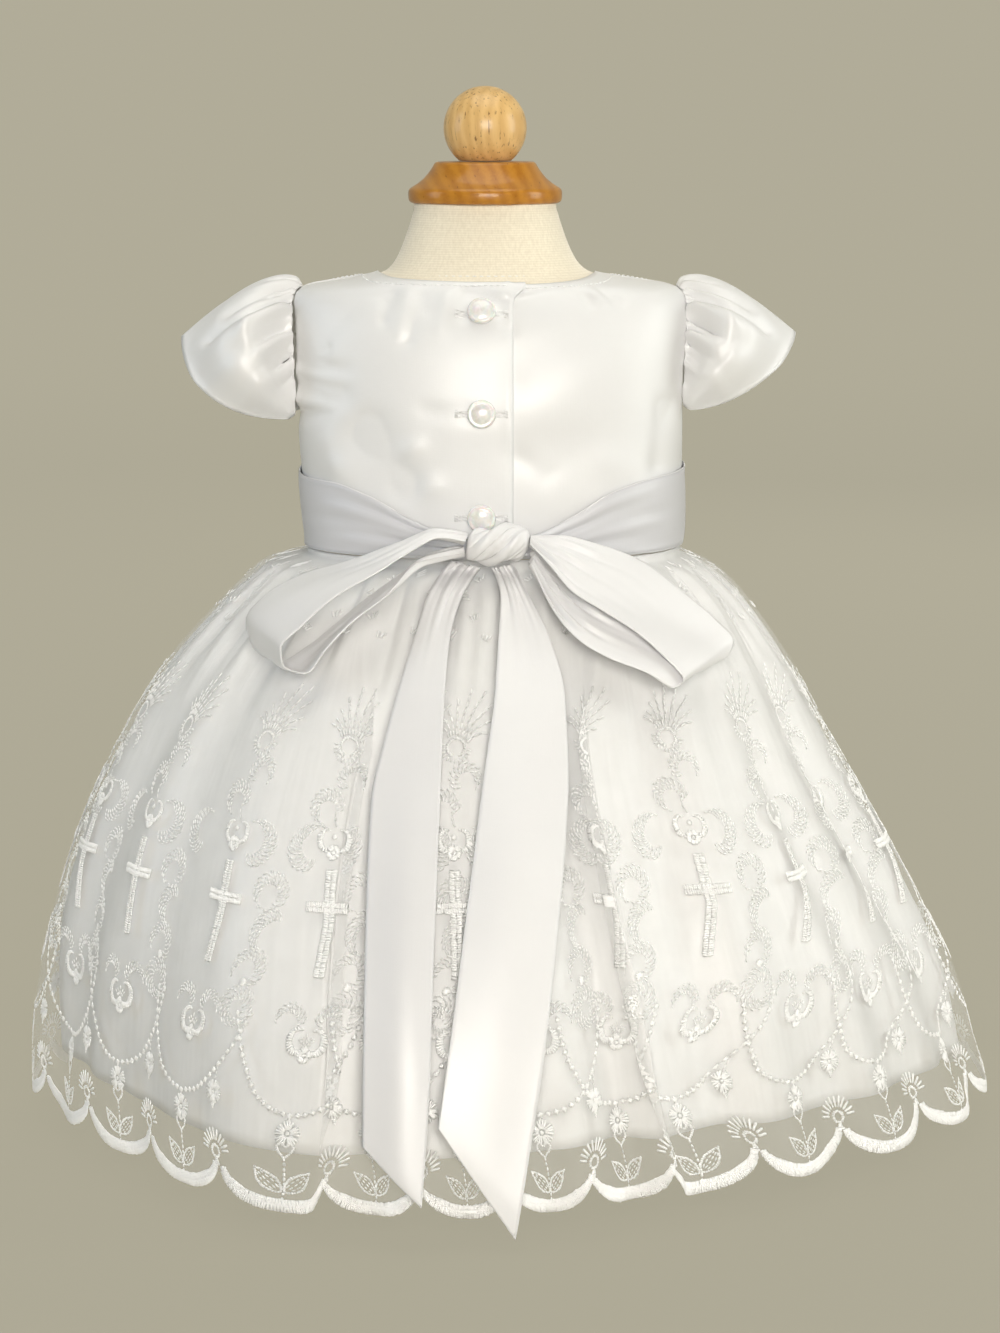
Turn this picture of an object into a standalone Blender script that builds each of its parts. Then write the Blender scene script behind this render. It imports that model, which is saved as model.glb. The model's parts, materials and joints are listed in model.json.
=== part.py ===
"""A short christening gown, fastened and tied at its back, on a small limbless dress form.

Run it with: blender --background --python part.py

World axes: X across the shoulders, +Y towards the gown's front, +Z up. The origin is on the floor,
under the middle of the form's foot. The back of the gown, with its buttons and bow, faces -Y.
Sizes are in millimetres; MM turns them into Blender's metres where meshes are made.
Angles go round the body in degrees: 0 at +X (one side), 90 at +Y (front), -90 at -Y (back).
Bearings go round the skirt in degrees: 0 at the centre back, rising towards +X.
"""

import math

import bmesh
import bpy
import numpy as np
from mathutils import Vector

MM = 0.001

# ---------------------------------------------------------------- driving sizes

SEAM_GAP = 0.4  # free space between two pieces that are sewn together or lie on each other
SATIN = 1.2  # wall of the bodice, sleeves and skirt lining
ORGANZA = 1.0  # wall of the skirt overlay
RIBBON = 1.0  # wall of the sash and bow

WAIST = 255.0  # height of the waist seam
UNDERARM = 293.0  # lowest point of the armholes
SHOULDER = 366.0  # height of the shoulder tips
NECK_SIDE = 372.8  # height of the neckline at the shoulder seams
NECK_BACK = 369.2
NECK_FRONT = 352.0
BODY_ROUNDNESS = 2.3  # exponent of the body's sections: 2 would be an ellipse
TORSO_INSET = 1.5  # the form lies this far inside the bodice

ARMHOLE_BACK = 11.0  # degrees that the armhole cuts into the back
ARMHOLE_FRONT = 19.0  # and into the front
PLACKET_EDGE = 11.0  # x of the upper back piece's edge
PLACKET_UNDER = -11.0  # x of the edge that lies beneath it

REPEATS = 28  # scallops round the hem, one pattern repeat each
COLUMNS = 4 * REPEATS  # mesh columns round the skirt
SCALLOP_DEPTH = 16.0
HEM = 12.0  # lowest points of the scallops
LINING_HEM = 34.0
GATHERS = 28  # gathers in the waist seam
GATHER_DEPTH = 2.4
CROWDING = (0.27, -1.58, -2.35)  # degrees a repeat, by harmonic: repeats lie closest at the centre back
FOLD_LIFT = 3.2  # the wall between the folds stands this far out, so that the girth is kept

SLEEVE_GATHERS = 8
SLEEVE_GATHER_DEPTH = 1.3

BUTTON_RADIUS = 6.0
BUTTON_X = -2.0

NECK_TOP = 402.6
BALL_RADIUS = 17.9
BALL_CENTRE = 435.0
CAP_TOP = 420.6
CAP_BOTTOM = 403.0
POST_RADIUS = 9.0
FOOT_RADIUS = 56.0
FOOT_TOP = 5.0


def table(columns, *rows):
    """Rows of numbers as a dict of named columns."""
    return {name: np.array(values, float) for name, values in zip(columns.split(), zip(*rows))}


# Sections of the body under the bodice, from the form's hips up to its neck.
BODY = table(
    "height half_width half_depth shift_x",
    (150.0, 60.0, 44.0, 0.0),
    (156.0, 70.0, 52.0, 0.0),
    (180.0, 77.0, 58.0, 1.0),
    (215.0, 79.5, 60.0, 2.5),
    (255.0, 80.3, 60.5, 3.0),
    (285.0, 81.5, 61.5, 2.2),
    (310.0, 83.5, 61.5, 1.5),
    (335.0, 84.8, 58.5, 1.0),
    (350.0, 85.3, 54.5, 1.0),
    (360.0, 84.8, 49.5, 1.0),
    (364.6, 83.0, 46.0, 1.0),
    (367.2, 78.0, 43.8, 0.8),
    (369.0, 68.0, 42.0, 0.5),
    (370.6, 57.0, 40.5, 0.2),
    (372.4, 47.5, 39.0, 0.0),
    (375.0, 43.2, 37.6, -0.3),
    (380.0, 39.6, 35.6, -0.5),
    (388.0, 36.2, 33.4, -0.6),
    (395.0, 33.8, 31.6, -0.6),
    (400.6, 31.8, 30.2, -0.7),
    (402.6, 28.6, 27.2, -0.7),
)

# The skirt overlay's outline, between its folds, at falling heights.
SKIRT = table(
    "height half_width half_depth shift_x",
    (255.0, 82.1, 62.3, 3.0),
    (252.4, 82.1, 62.3, 3.0),
    (247.5, 95.0, 71.5, -0.8),
    (240.0, 104.0, 79.0, -0.5),
    (225.0, 117.5, 91.5, -1.8),
    (203.0, 134.5, 111.0, -3.8),
    (172.0, 152.5, 136.0, -4.8),
    (140.0, 169.5, 159.0, -3.5),
    (104.0, 185.5, 180.0, 0.0),
    (68.0, 199.0, 195.0, 4.4),
    (40.0, 205.0, 202.0, 6.6),
    (12.0, 209.0, 207.0, 10.0),
)

# How far the hem stands out of that outline or lies inside it.
HEM_LEAN = table(
    "bearing out",
    (-180.0, 0.0),
    (-135.0, -6.0),
    (-90.0, 0.0),
    (-62.0, -13.0),
    (-40.0, -7.0),
    (-15.0, 7.0),
    (15.0, -12.0),
    (40.0, -20.0),
    (62.0, -13.0),
    (84.0, 0.0),
    (135.0, -6.0),
    (180.0, 0.0),
)

# The skirt's folds, hollows that run from the waist to the hem: bearings at both ends, half width in
# degrees, and depth at mid height and at the hem.
FOLDS = table(
    "top hem width depth hem_depth",
    (-172.0, -172.0, 6.0, 8.0, 9.0),
    (-155.0, -156.0, 5.0, 8.0, 7.0),
    (-139.0, -138.0, 6.5, 7.0, 9.0),
    (-124.0, -123.0, 5.0, 8.0, 7.0),
    (-111.0, -111.0, 6.0, 7.0, 9.0),
    (-97.0, -98.0, 4.6, 6.0, 8.0),
    (-70.0, -70.0, 5.0, 9.0, 8.0),
    (-47.0, -50.0, 5.5, 8.0, 7.0),
    (-31.0, -33.0, 5.0, 2.0, 6.0),
    (-18.5, -17.5, 4.2, 12.0, 10.0),
    (-7.0, -8.0, 4.2, 6.0, 9.0),
    (4.0, 3.5, 4.2, 7.0, 10.0),
    (17.5, 16.5, 4.4, 13.0, 12.0),
    (29.0, 27.0, 4.6, 6.0, 5.0),
    (44.0, 46.0, 5.5, 3.0, 7.0),
    (60.0, 62.0, 4.6, 8.0, 5.0),
    (74.0, 73.0, 4.6, 8.0, 7.0),
    (99.0, 99.0, 5.0, 6.0, 8.0),
    (112.0, 112.0, 6.0, 7.0, 8.0),
    (126.0, 126.0, 5.0, 7.0, 9.0),
    (142.0, 143.0, 6.0, 8.0, 7.0),
    (157.0, 158.0, 5.5, 7.0, 9.0),
    (172.0, 173.0, 4.5, 7.0, 7.0),
)

# The sash goes round the waist and narrows into the knot. out is measured from the body.
SASH = table(
    "bearing bottom top out",
    (-180.0, 256.5, 292.5, 1.9),
    (-90.0, 256.0, 288.0, 1.9),
    (-72.0, 256.0, 286.6, 1.9),
    (-52.0, 256.0, 286.0, 2.1),
    (-36.0, 256.3, 281.5, 2.6),
    (-20.0, 257.0, 271.5, 3.6),
    (-9.0, 257.4, 266.0, 5.0),
    (0.0, 257.6, 264.5, 5.6),
    (9.0, 257.4, 266.0, 5.0),
    (20.0, 257.0, 273.0, 3.6),
    (36.0, 256.3, 283.5, 2.6),
    (52.0, 256.3, 287.5, 2.1),
    (72.0, 256.5, 289.0, 1.9),
    (90.0, 256.5, 290.0, 1.9),
    (180.0, 256.5, 292.5, 1.9),
)

# Each bow loop leaves the knot above, turns over at its far end and comes back below. Stations give
# the edge that lies next to the skirt and the edge that stands away from it.
LOOP_LEFT = table(
    "far_x far_y far_z near_x near_y near_z",
    (-8.6, -71.5, 265.6, -8.8, -81.0, 265.2),
    (-21.0, -74.0, 268.8, -20.0, -89.0, 267.8),
    (-36.0, -75.0, 264.3, -32.0, -97.0, 262.6),
    (-56.0, -75.0, 256.8, -45.5, -102.0, 254.6),
    (-78.0, -74.0, 250.0, -62.0, -104.5, 245.4),
    (-94.5, -72.5, 240.0, -75.5, -105.0, 233.5),
    (-100.8, -71.5, 230.5, -84.6, -104.5, 224.0),
    (-97.0, -76.0, 219.5, -83.6, -104.5, 216.6),
    (-86.0, -86.0, 215.5, -74.5, -106.5, 213.6),
    (-73.0, -89.0, 223.0, -65.5, -108.0, 224.3),
    (-57.0, -86.5, 236.0, -54.5, -107.0, 235.6),
    (-39.0, -80.0, 249.0, -41.5, -102.0, 245.0),
    (-22.0, -76.0, 258.5, -27.0, -90.0, 258.0),
    (-9.3, -72.5, 261.5, -9.2, -80.5, 260.5),
)
LOOP_RIGHT = table(
    "far_x far_y far_z near_x near_y near_z",
    (18.1, -72.0, 266.4, 18.3, -81.0, 264.2),
    (31.0, -74.0, 266.8, 26.5, -90.0, 256.4),
    (47.5, -75.0, 263.0, 35.5, -96.5, 246.6),
    (64.3, -75.0, 256.6, 47.5, -100.0, 239.4),
    (81.3, -74.0, 244.0, 61.5, -102.0, 230.6),
    (96.0, -73.0, 231.6, 73.0, -101.5, 220.5),
    (103.8, -73.5, 222.4, 81.6, -101.0, 210.6),
    (98.5, -79.0, 215.5, 77.0, -102.0, 207.2),
    (84.0, -86.0, 220.5, 66.0, -105.0, 214.0),
    (66.0, -89.0, 231.0, 52.0, -105.0, 219.4),
    (48.5, -87.0, 241.5, 39.5, -103.5, 226.3),
    (33.0, -79.0, 251.5, 28.5, -94.0, 237.2),
    (18.8, -73.5, 261.0, 18.8, -82.0, 256.0),
)

# The tails hang from the knot over the skirt. lift is the distance from the skirt's outline.
TAIL_LEFT = table(
    "left_height left_x right_height right_x lift",
    (255.0, -10.6, 252.5, 1.2, 7.0),
    (245.0, -22.5, 243.0, -9.5, 5.0),
    (228.0, -29.0, 226.0, -15.5, 3.4),
    (208.0, -35.4, 208.0, -17.2, 2.8),
    (188.0, -41.2, 186.0, -18.2, 2.6),
    (168.0, -45.8, 164.0, -19.0, 2.6),
    (140.0, -47.0, 136.0, -20.0, 2.6),
    (111.0, -47.4, 104.0, -21.0, 2.6),
    (76.0, -47.7, 63.0, -22.2, 2.8),
    (41.5, -48.0, 19.2, -25.2, 3.0),
)
TAIL_RIGHT = table(
    "left_height left_x right_height right_x lift",
    (253.5, 3.2, 255.3, 15.0, 7.0),
    (243.0, 7.4, 241.0, 22.0, 5.0),
    (226.0, 6.6, 226.0, 27.5, 3.6),
    (206.0, 4.2, 205.0, 32.0, 2.8),
    (176.0, -0.3, 176.0, 33.2, 2.6),
    (150.0, -3.8, 148.0, 31.5, 2.6),
    (124.0, -7.4, 118.0, 28.2, 2.6),
    (90.0, -12.0, 78.0, 23.4, 2.8),
    (48.5, -18.1, 5.2, 11.6, 3.0),
)

# One row for each sleeve: side is -1 for the left, reach and tip_height give the outermost point.
SLEEVES = table(
    "side reach tip_height end_height",
    (-1, 134.2, 345.0, 313.0),
    (1, 133.6, 346.8, 317.0),
)

BUTTON_HEIGHTS = {"button_top": 357.3, "button_middle": 316.6, "button_low": 273.2}


def smooth(xs, ys, x):
    """Monotone cubic interpolation of one table column, level past its ends."""
    if xs[0] > xs[-1]:
        xs, ys = xs[::-1], ys[::-1]
    x = np.clip(np.asarray(x, float), xs[0], xs[-1])
    steps = np.diff(xs)
    slopes = np.diff(ys) / steps
    tangents = np.zeros(len(xs))
    for k in range(1, len(xs) - 1):
        if slopes[k - 1] * slopes[k] > 0:
            left = 2 * steps[k] + steps[k - 1]
            right = steps[k] + 2 * steps[k - 1]
            tangents[k] = (left + right) / (left / slopes[k - 1] + right / slopes[k])
    i = np.clip(np.searchsorted(xs, x, side="right") - 1, 0, len(steps) - 1)
    t = (x - xs[i]) / steps[i]
    value = ys[i] * (1 + 2 * t) * (1 - t) ** 2 + ys[i + 1] * t * t * (3 - 2 * t)
    return value + steps[i] * (tangents[i] * t * (1 - t) ** 2 + tangents[i + 1] * t * t * (t - 1))


def ramp(x, start, end):
    """0 before start, 1 after end, smooth between."""
    t = np.clip((np.asarray(x, float) - start) / (end - start), 0, 1)
    return t * t * (3 - 2 * t)


def signed_power(value, power):
    return np.sign(value) * np.abs(value) ** power


def points(x, y, z):
    """Arrays of coordinates as one array whose last axis is x, y, z."""
    return np.stack(np.broadcast_arrays(x, y, z), axis=-1).astype(float)


# ---------------------------------------------------------------- surfaces


def body_surface(angle, height):
    """Points of the body under the bodice."""
    a = np.radians(np.asarray(angle, float))
    wide, deep, shift = (smooth(BODY["height"], BODY[c], height) for c in ("half_width", "half_depth", "shift_x"))
    power = 2 / BODY_ROUNDNESS
    return points(wide * signed_power(np.cos(a), power) + shift, deep * signed_power(np.sin(a), power), height)


def body_normal(angle, height):
    low = np.clip(np.subtract(height, 0.5), BODY["height"][0], NECK_TOP)
    high = np.clip(np.add(height, 0.5), BODY["height"][0], NECK_TOP)
    around = body_surface(np.add(angle, 1.0), height) - body_surface(np.subtract(angle, 1.0), height)
    normal = np.cross(around, body_surface(angle, high) - body_surface(angle, low))
    return normal / np.linalg.norm(normal, axis=-1, keepdims=True)


def body_point(angle, height, out=0.0):
    """A point moved out of the body along its normal."""
    return body_surface(angle, height) + body_normal(angle, height) * np.asarray(out, float)[..., None]


def back_angle(x, height):
    """Angle on the back at which the body has this x."""
    wide = smooth(BODY["height"], BODY["half_width"], height)
    shift = smooth(BODY["height"], BODY["shift_x"], height)
    return -90.0 + np.degrees(np.arcsin(signed_power((x - shift) / wide, BODY_ROUNDNESS / 2)))


def fold_offset(bearing, fall):
    """How far the folds move the skirt's wall. fall is 0 at the waist and 1 at the hem."""
    offset = FOLD_LIFT * ramp(fall, 0.03, 0.35)
    for top, hem, width, depth, hem_depth in zip(*FOLDS.values()):
        centre = top + (hem - top) * fall
        away = (bearing - centre + 180.0) % 360.0 - 180.0
        hollow = (depth + (hem_depth - depth) * ramp(fall, 0.55, 1.0)) * ramp(fall, 0.02, 0.40)
        offset = offset - hollow * np.exp(-((away / (width * (1.3 - 0.3 * fall))) ** 2))
    return offset


def skirt_point(bearing, height, inward=0.0, folded=1.0):
    """A point of the overlay's inner side, moved inward. folded 0 leaves out its folds and gathers."""
    bearing = np.asarray(bearing, float)
    fall = (WAIST - np.asarray(height, float)) / (WAIST - HEM)
    wide, deep, shift = (smooth(SKIRT["height"], SKIRT[c], height) for c in ("half_width", "half_depth", "shift_x"))
    around = (bearing + 180.0) % 360.0 - 180.0
    lean = smooth(HEM_LEAN["bearing"], HEM_LEAN["out"], around) * ramp(fall, 0.15, 1.0)
    gather = GATHER_DEPTH * ramp(fall, 0.015, 0.045) * (1 - ramp(fall, 0.06, 0.36))
    wave = gather * np.cos(np.radians(bearing) * GATHERS)
    out = lean + folded * (wave + fold_offset(bearing, fall)) + (1 - folded) * (gather + FOLD_LIFT) - inward
    power = 2 / BODY_ROUNDNESS + (1 - 2 / BODY_ROUNDNESS) * ramp(fall, 0.0, 0.2)
    b = np.radians(bearing)
    return points((wide + out) * signed_power(np.sin(b), power) + shift,
                  -(deep + out) * signed_power(np.cos(b), power), height)


def repeat_bearing(repeat):
    """Bearing of a place counted in pattern repeats. The first scallop's middle is 0, the centre back 0.5."""
    turn = 2 * math.pi * (repeat - 0.5) / REPEATS
    crowd = sum(size * np.sin((n + 1) * turn) / (n + 1) for n, size in enumerate(CROWDING))
    return 360.0 / REPEATS * (repeat - 0.5) + REPEATS / (2 * math.pi) * crowd


def over_skirt(x, height, lift):
    """A point in front of the skirt's back, lifted off its unfolded outline."""
    bearings = np.linspace(-60, 60, 241)
    outline = skirt_point(bearings, max(float(height), HEM), folded=0.0)
    y = np.interp(x, outline[:, 0], outline[:, 1])
    return np.array([x, y - ORGANZA - lift, height])


def scallop(repeat):
    """Height of the scalloped edge above its lowest points."""
    across = np.abs((repeat + 0.5) % 1.0 - 0.5) * 2
    return SCALLOP_DEPTH * (1 - np.sqrt(1 - 0.97 * across**2))


# ---------------------------------------------------------------- making Blender objects

for old in list(bpy.data.objects):
    bpy.data.objects.remove(old, do_unlink=True)

GOWN = bpy.data.collections.new("christening_gown")
bpy.context.scene.collection.children.link(GOWN)


def material(name, colour, roughness, metallic=0.0):
    made = bpy.data.materials.new(name)
    made.use_nodes = True
    shader = made.node_tree.nodes["Principled BSDF"]
    shader.inputs["Base Color"].default_value = (*colour, 1.0)
    shader.inputs["Roughness"].default_value = roughness
    shader.inputs["Metallic"].default_value = metallic
    made.diffuse_color = (*colour, 1.0)
    return made


def add_object(name, mesh, finish):
    obj = bpy.data.objects.new(name, mesh)
    mesh.materials.append(finish)
    GOWN.objects.link(obj)
    return obj


def cloth_object(name, grid, finish, wall, closed=False, side=1.0):
    """A cloth piece: a grid of points in millimetres, thickened to one side (1), both (0) or the other (-1).

    Its rows run upwards and its columns anticlockwise, so that the normals face outwards. closed joins
    the last column to the first.
    """
    rows, columns = grid.shape[:2]
    build = bmesh.new()
    verts = [[build.verts.new(p * MM) for p in row] for row in grid]
    for low, high in zip(verts, verts[1:]):
        for c in range(columns if closed else columns - 1):
            d = (c + 1) % columns
            build.faces.new((low[c], low[d], high[d], high[c]))
    mesh = bpy.data.meshes.new(name)
    build.to_mesh(mesh)
    build.free()
    mesh.shade_smooth()
    obj = add_object(name, mesh, finish)
    thicken = obj.modifiers.new("wall", "SOLIDIFY")
    thicken.thickness = wall * MM
    thicken.offset = side
    return obj


def turned_object(name, profile, finish, steps, place=(0, 0, 0), facing=(0, 0, 1)):
    """A turned solid from (radius, height) points down its outer side, with its axis along facing."""
    mesh = bpy.data.meshes.new(name)
    mesh.from_pydata([(r * MM, 0, h * MM) for r, h in profile], [(i, i + 1) for i in range(len(profile) - 1)], [])
    obj = add_object(name, mesh, finish)
    turn = obj.modifiers.new("turn", "SCREW")
    turn.steps = turn.render_steps = steps
    turn.use_merge_vertices = True
    turn.merge_threshold = 0.00001
    turn.use_smooth_shade = True
    obj.location = [c * MM for c in place]
    obj.rotation_euler = Vector(facing).to_track_quat("Z", "Y").to_euler()
    return obj


def solid_through(name, rings, finish):
    """A closed solid through rings of points, with its ends filled."""
    build = bmesh.new()
    levels = [[build.verts.new(p * MM) for p in ring] for ring in rings]
    for low, high in zip(levels, levels[1:]):
        for c in range(len(low)):
            d = (c + 1) % len(low)
            build.faces.new((low[c], low[d], high[d], high[c]))
    build.faces.new(levels[0][::-1])
    build.faces.new(levels[-1])
    bmesh.ops.recalc_face_normals(build, faces=build.faces)
    mesh = bpy.data.meshes.new(name)
    build.to_mesh(mesh)
    build.free()
    mesh.shade_smooth()
    return add_object(name, mesh, finish)


WHITE_SATIN = material("white_satin", (0.86, 0.86, 0.87), 0.38)
LINING_SATIN = material("lining_satin", (0.88, 0.88, 0.87), 0.42)
WHITE_ORGANZA = material("white_organza", (0.93, 0.93, 0.93), 0.45)
RIBBON_SATIN = material("ribbon_satin", (0.84, 0.84, 0.87), 0.32)
PEARL = material("pearl_plastic", (0.88, 0.87, 0.82), 0.18)
JERSEY = material("cream_jersey", (0.83, 0.79, 0.70), 0.85)
WOOD = material("varnished_wood", (0.58, 0.33, 0.12), 0.22)
FOOT_PAINT = material("foot_paint", (0.47, 0.45, 0.38), 0.5)

# ---------------------------------------------------------------- bodice

# Heights of the panels' rows up their side edge: side seam, armhole, then shoulder seam.
PANEL_ROWS = (WAIST + SEAM_GAP, 274.0, UNDERARM, 299.0, 312.0, 327.0, 341.0, 352.0, 359.5, 364.0, SHOULDER, 369.2,
              371.3, NECK_SIDE)


def neckline(angle):
    """Height of the neckline."""
    turn = np.sin(np.radians(angle))
    return NECK_SIDE - np.where(turn < 0, NECK_SIDE - NECK_BACK, NECK_SIDE - NECK_FRONT) * turn**2


def armhole(height, cut):
    """Degrees from the side to the armhole's edge. The side and shoulder seams stand half a gap from it."""
    t = np.clip((height - UNDERARM) / (SHOULDER - UNDERARM), 0, 1)
    half_gap = np.degrees(0.5 * SEAM_GAP / np.maximum(smooth(BODY["height"], BODY["half_width"], height) * 0.55, 20))
    return half_gap + cut * np.sqrt(1 - (2 * t - 1) ** 4)


def panel_grid(first_edge, last_edge, shares):
    """Angles and heights over one bodice panel. Its edges are functions of height that give an angle."""
    angles, heights = [], []
    for row in PANEL_ROWS:
        first, last = float(first_edge(row)), float(last_edge(row))
        angle = first + (last - first) * np.array(shares)
        rise = (row - PANEL_ROWS[0]) / (NECK_SIDE - PANEL_ROWS[0])
        angles.append(angle)
        heights.append(PANEL_ROWS[0] + rise * (neckline(angle) - PANEL_ROWS[0]))
    return np.array(angles), np.array(heights)


front_angles, front_heights = panel_grid(
    lambda h: armhole(h, ARMHOLE_FRONT),
    lambda h: 180 - armhole(h, ARMHOLE_FRONT),
    (0, 0.05, 0.11, 0.18, 0.26, 0.34, 0.42, 0.5, 0.58, 0.66, 0.74, 0.82, 0.89, 0.95, 1),
)
cloth_object("bodice_front", body_point(front_angles, front_heights), WHITE_SATIN, SATIN)

left_angles, left_heights = panel_grid(
    lambda h: -180 + armhole(h, ARMHOLE_BACK),
    lambda h: back_angle(PLACKET_EDGE, h),
    (0, 0.08, 0.19, 0.31, 0.43, 0.55, 0.66, 0.75, 0.82, 0.875, 0.935, 1),
)
left_x = body_surface(left_angles, left_heights)[..., 0]
left_lift = (SATIN + 1.5 * SEAM_GAP) * ramp(left_x, PLACKET_UNDER - 15.0, PLACKET_UNDER - 5.0)
cloth_object("bodice_back_left", body_point(left_angles, left_heights, left_lift), WHITE_SATIN, SATIN)

right_angles, right_heights = panel_grid(
    lambda h: back_angle(PLACKET_UNDER, h),
    lambda h: -armhole(h, ARMHOLE_BACK),
    (0, 0.065, 0.125, 0.18, 0.25, 0.34, 0.45, 0.57, 0.69, 0.81, 0.92, 1),
)
cloth_object("bodice_back_right", body_point(right_angles, right_heights), WHITE_SATIN, SATIN)

# ---------------------------------------------------------------- sleeves


def sleeve_grid(side, reach, tip_height, end_height):
    """A cap sleeve: from its gathered seam over the armhole's upper part out to its free hem."""
    around = np.linspace(-1, 1, 4 * SLEEVE_GATHERS + 1)  # -1 at the back end, 0 on the shoulder, 1 at the front end
    down = np.array([0, 0.09, 0.24, 0.44, 0.68, 1.0])  # 0 at the seam, 1 at the hem
    over = np.cos(around * math.pi / 2)
    seam_height = end_height + (SHOULDER - end_height) * over**0.75
    back_cut = armhole(seam_height, ARMHOLE_BACK)
    front_cut = armhole(seam_height, ARMHOLE_FRONT)
    cut = np.where(around < 0, -back_cut, front_cut) * np.minimum(1, np.abs(around) * 20)
    seam = body_point(cut, seam_height, SATIN + 3 * SEAM_GAP)
    rim = np.sin(np.abs(around) * math.pi / 2)
    hem_x = 88.0 + (reach - 88.0) * over**0.95
    hem_y = seam[:, 1] * np.abs(around) + np.sign(around) * 15.0 * np.sin(np.abs(around) * math.pi)
    hem_z = tip_height - (tip_height - end_height + 2.0) * rim**1.05
    hem = points(hem_x, hem_y, hem_z)
    rows = []
    for share in down:
        puff = math.sin(math.pi * share)
        swell = points(8.0 * rim * over, np.sign(around) * 17.0 * puff**0.4 * np.sin(np.abs(around) * math.pi) ** 0.8,
                       7.5 * over)
        ripple = SLEEVE_GATHER_DEPTH * math.sin(math.pi * min(1, share / 0.62) ** 0.6)
        ripple = ripple * np.cos(around * math.pi * SLEEVE_GATHERS) * over**0.5
        outward = points(0 * around, np.sign(around) * rim, over)
        row = seam + (hem - seam) * share + swell * puff + outward * ripple[:, None]
        rows.append(row)
    grid = np.array(rows)
    grid[..., 0] = BODY["shift_x"][8] + side * (grid[..., 0] - BODY["shift_x"][8])
    return grid[:, ::-1] if side > 0 else grid


for name, row in zip(("sleeve_left", "sleeve_right"), zip(*SLEEVES.values())):
    cloth_object(name, sleeve_grid(*row), WHITE_SATIN, SATIN)

# ---------------------------------------------------------------- skirt

SKIRT_ROWS = (85.0, 140.0, 190.0, 226.0, 244.0, 252.4, WAIST)
repeats = np.arange(COLUMNS) * REPEATS / COLUMNS
bearings = repeat_bearing(repeats)


def lining_row(height):
    """The lining hangs inside the overlay. It leaves the waist seam a little lower down."""
    if height > WAIST - 5.0:
        row = skirt_point(bearings, np.full(COLUMNS, WAIST), SATIN + SEAM_GAP)
        row[:, 2] = height
        return row
    fall = (WAIST - height) / (WAIST - HEM)
    return skirt_point(bearings, np.full(COLUMNS, height), 4.8 + 1.4 * ramp(fall, 0.5, 1.0))


overlay_rows = [skirt_point(bearings, HEM + scallop(repeats))]
overlay_rows += [skirt_point(bearings, np.full(COLUMNS, h)) for h in SKIRT_ROWS]
cloth_object("skirt_overlay", np.array(overlay_rows), WHITE_ORGANZA, ORGANZA, closed=True)

lining_rows = [lining_row(h) for h in (LINING_HEM, *SKIRT_ROWS[:-2], SKIRT_ROWS[-2] - 2.0, WAIST)]
cloth_object("skirt_lining", np.array(lining_rows), LINING_SATIN, SATIN, closed=True)

# ---------------------------------------------------------------- sash and bow

sash_bearings = np.concatenate([np.linspace(-180, -60, 12, endpoint=False), np.linspace(-60, 60, 24, endpoint=False),
                                np.linspace(60, 180, 12, endpoint=False)])
sash_bottom, sash_top, sash_out = (smooth(SASH["bearing"], SASH[c], sash_bearings) for c in ("bottom", "top", "out"))
sash_rows = [body_point(sash_bearings - 90, sash_bottom + (sash_top - sash_bottom) * share, sash_out)
             for share in (0.0, 0.5, 1.0)]
cloth_object("sash", np.array(sash_rows), RIBBON_SATIN, RIBBON, closed=True)


def along(stations, column, count):
    """One column of a station table, read at evenly spaced places from its first row to its last."""
    rows = np.arange(len(stations[column]), dtype=float)
    return smooth(rows, stations[column], np.linspace(0, rows[-1], count))


def loop_grid(stations, count=25):
    far = points(*(along(stations, c, count) for c in ("far_x", "far_y", "far_z")))
    near = points(*(along(stations, c, count) for c in ("near_x", "near_y", "near_z")))
    return np.stack([far + (near - far) * share for share in (0.0, 0.5, 1.0)])


def tail_grid(stations, count=16):
    left = [over_skirt(*p) for p in zip(*(along(stations, c, count) for c in ("left_x", "left_height", "lift")))]
    right = [over_skirt(*p) for p in zip(*(along(stations, c, count) for c in ("right_x", "right_height", "lift")))]
    left, right = np.array(left)[::-1], np.array(right)[::-1]
    middle = (left + right) / 2 - np.array([0, 1.2, 0])
    return np.stack([left, middle, right], axis=1)


cloth_object("bow_loop_left", loop_grid(LOOP_LEFT), RIBBON_SATIN, RIBBON, side=0.0)
cloth_object("bow_loop_right", loop_grid(LOOP_RIGHT), RIBBON_SATIN, RIBBON, side=0.0)
cloth_object("tail_left", tail_grid(TAIL_LEFT), RIBBON_SATIN, RIBBON)
cloth_object("tail_right", tail_grid(TAIL_RIGHT), RIBBON_SATIN, RIBBON)

# The knot is a band folded over the ribbons: rings along a slanting axis, with three soft ridges.
KNOT = table(
    "along radius",
    (-12.6, 3.5),
    (-11.4, 6.6),
    (-7.5, 8.0),
    (-2.5, 8.6),
    (2.5, 8.6),
    (7.5, 8.2),
    (11.4, 6.8),
    (12.6, 3.5),
)
KNOT_CENTRE = np.array([4.6, -76.4, 263.4])
KNOT_DEPTH = 0.95  # y radius over z radius
turn = np.arange(14) * 2 * math.pi / 14
knot_rings = []
for place, radius in zip(*KNOT.values()):
    ridge = radius * (1 + 0.06 * np.cos(3 * turn + place * 0.12))
    knot_rings.append(KNOT_CENTRE + points(place + 0.10 * ridge * np.sin(turn), ridge * KNOT_DEPTH * np.cos(turn),
                                           ridge * np.sin(turn) + 0.08 * place))
solid_through("bow_knot", knot_rings, RIBBON_SATIN)

# ---------------------------------------------------------------- buttons

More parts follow.
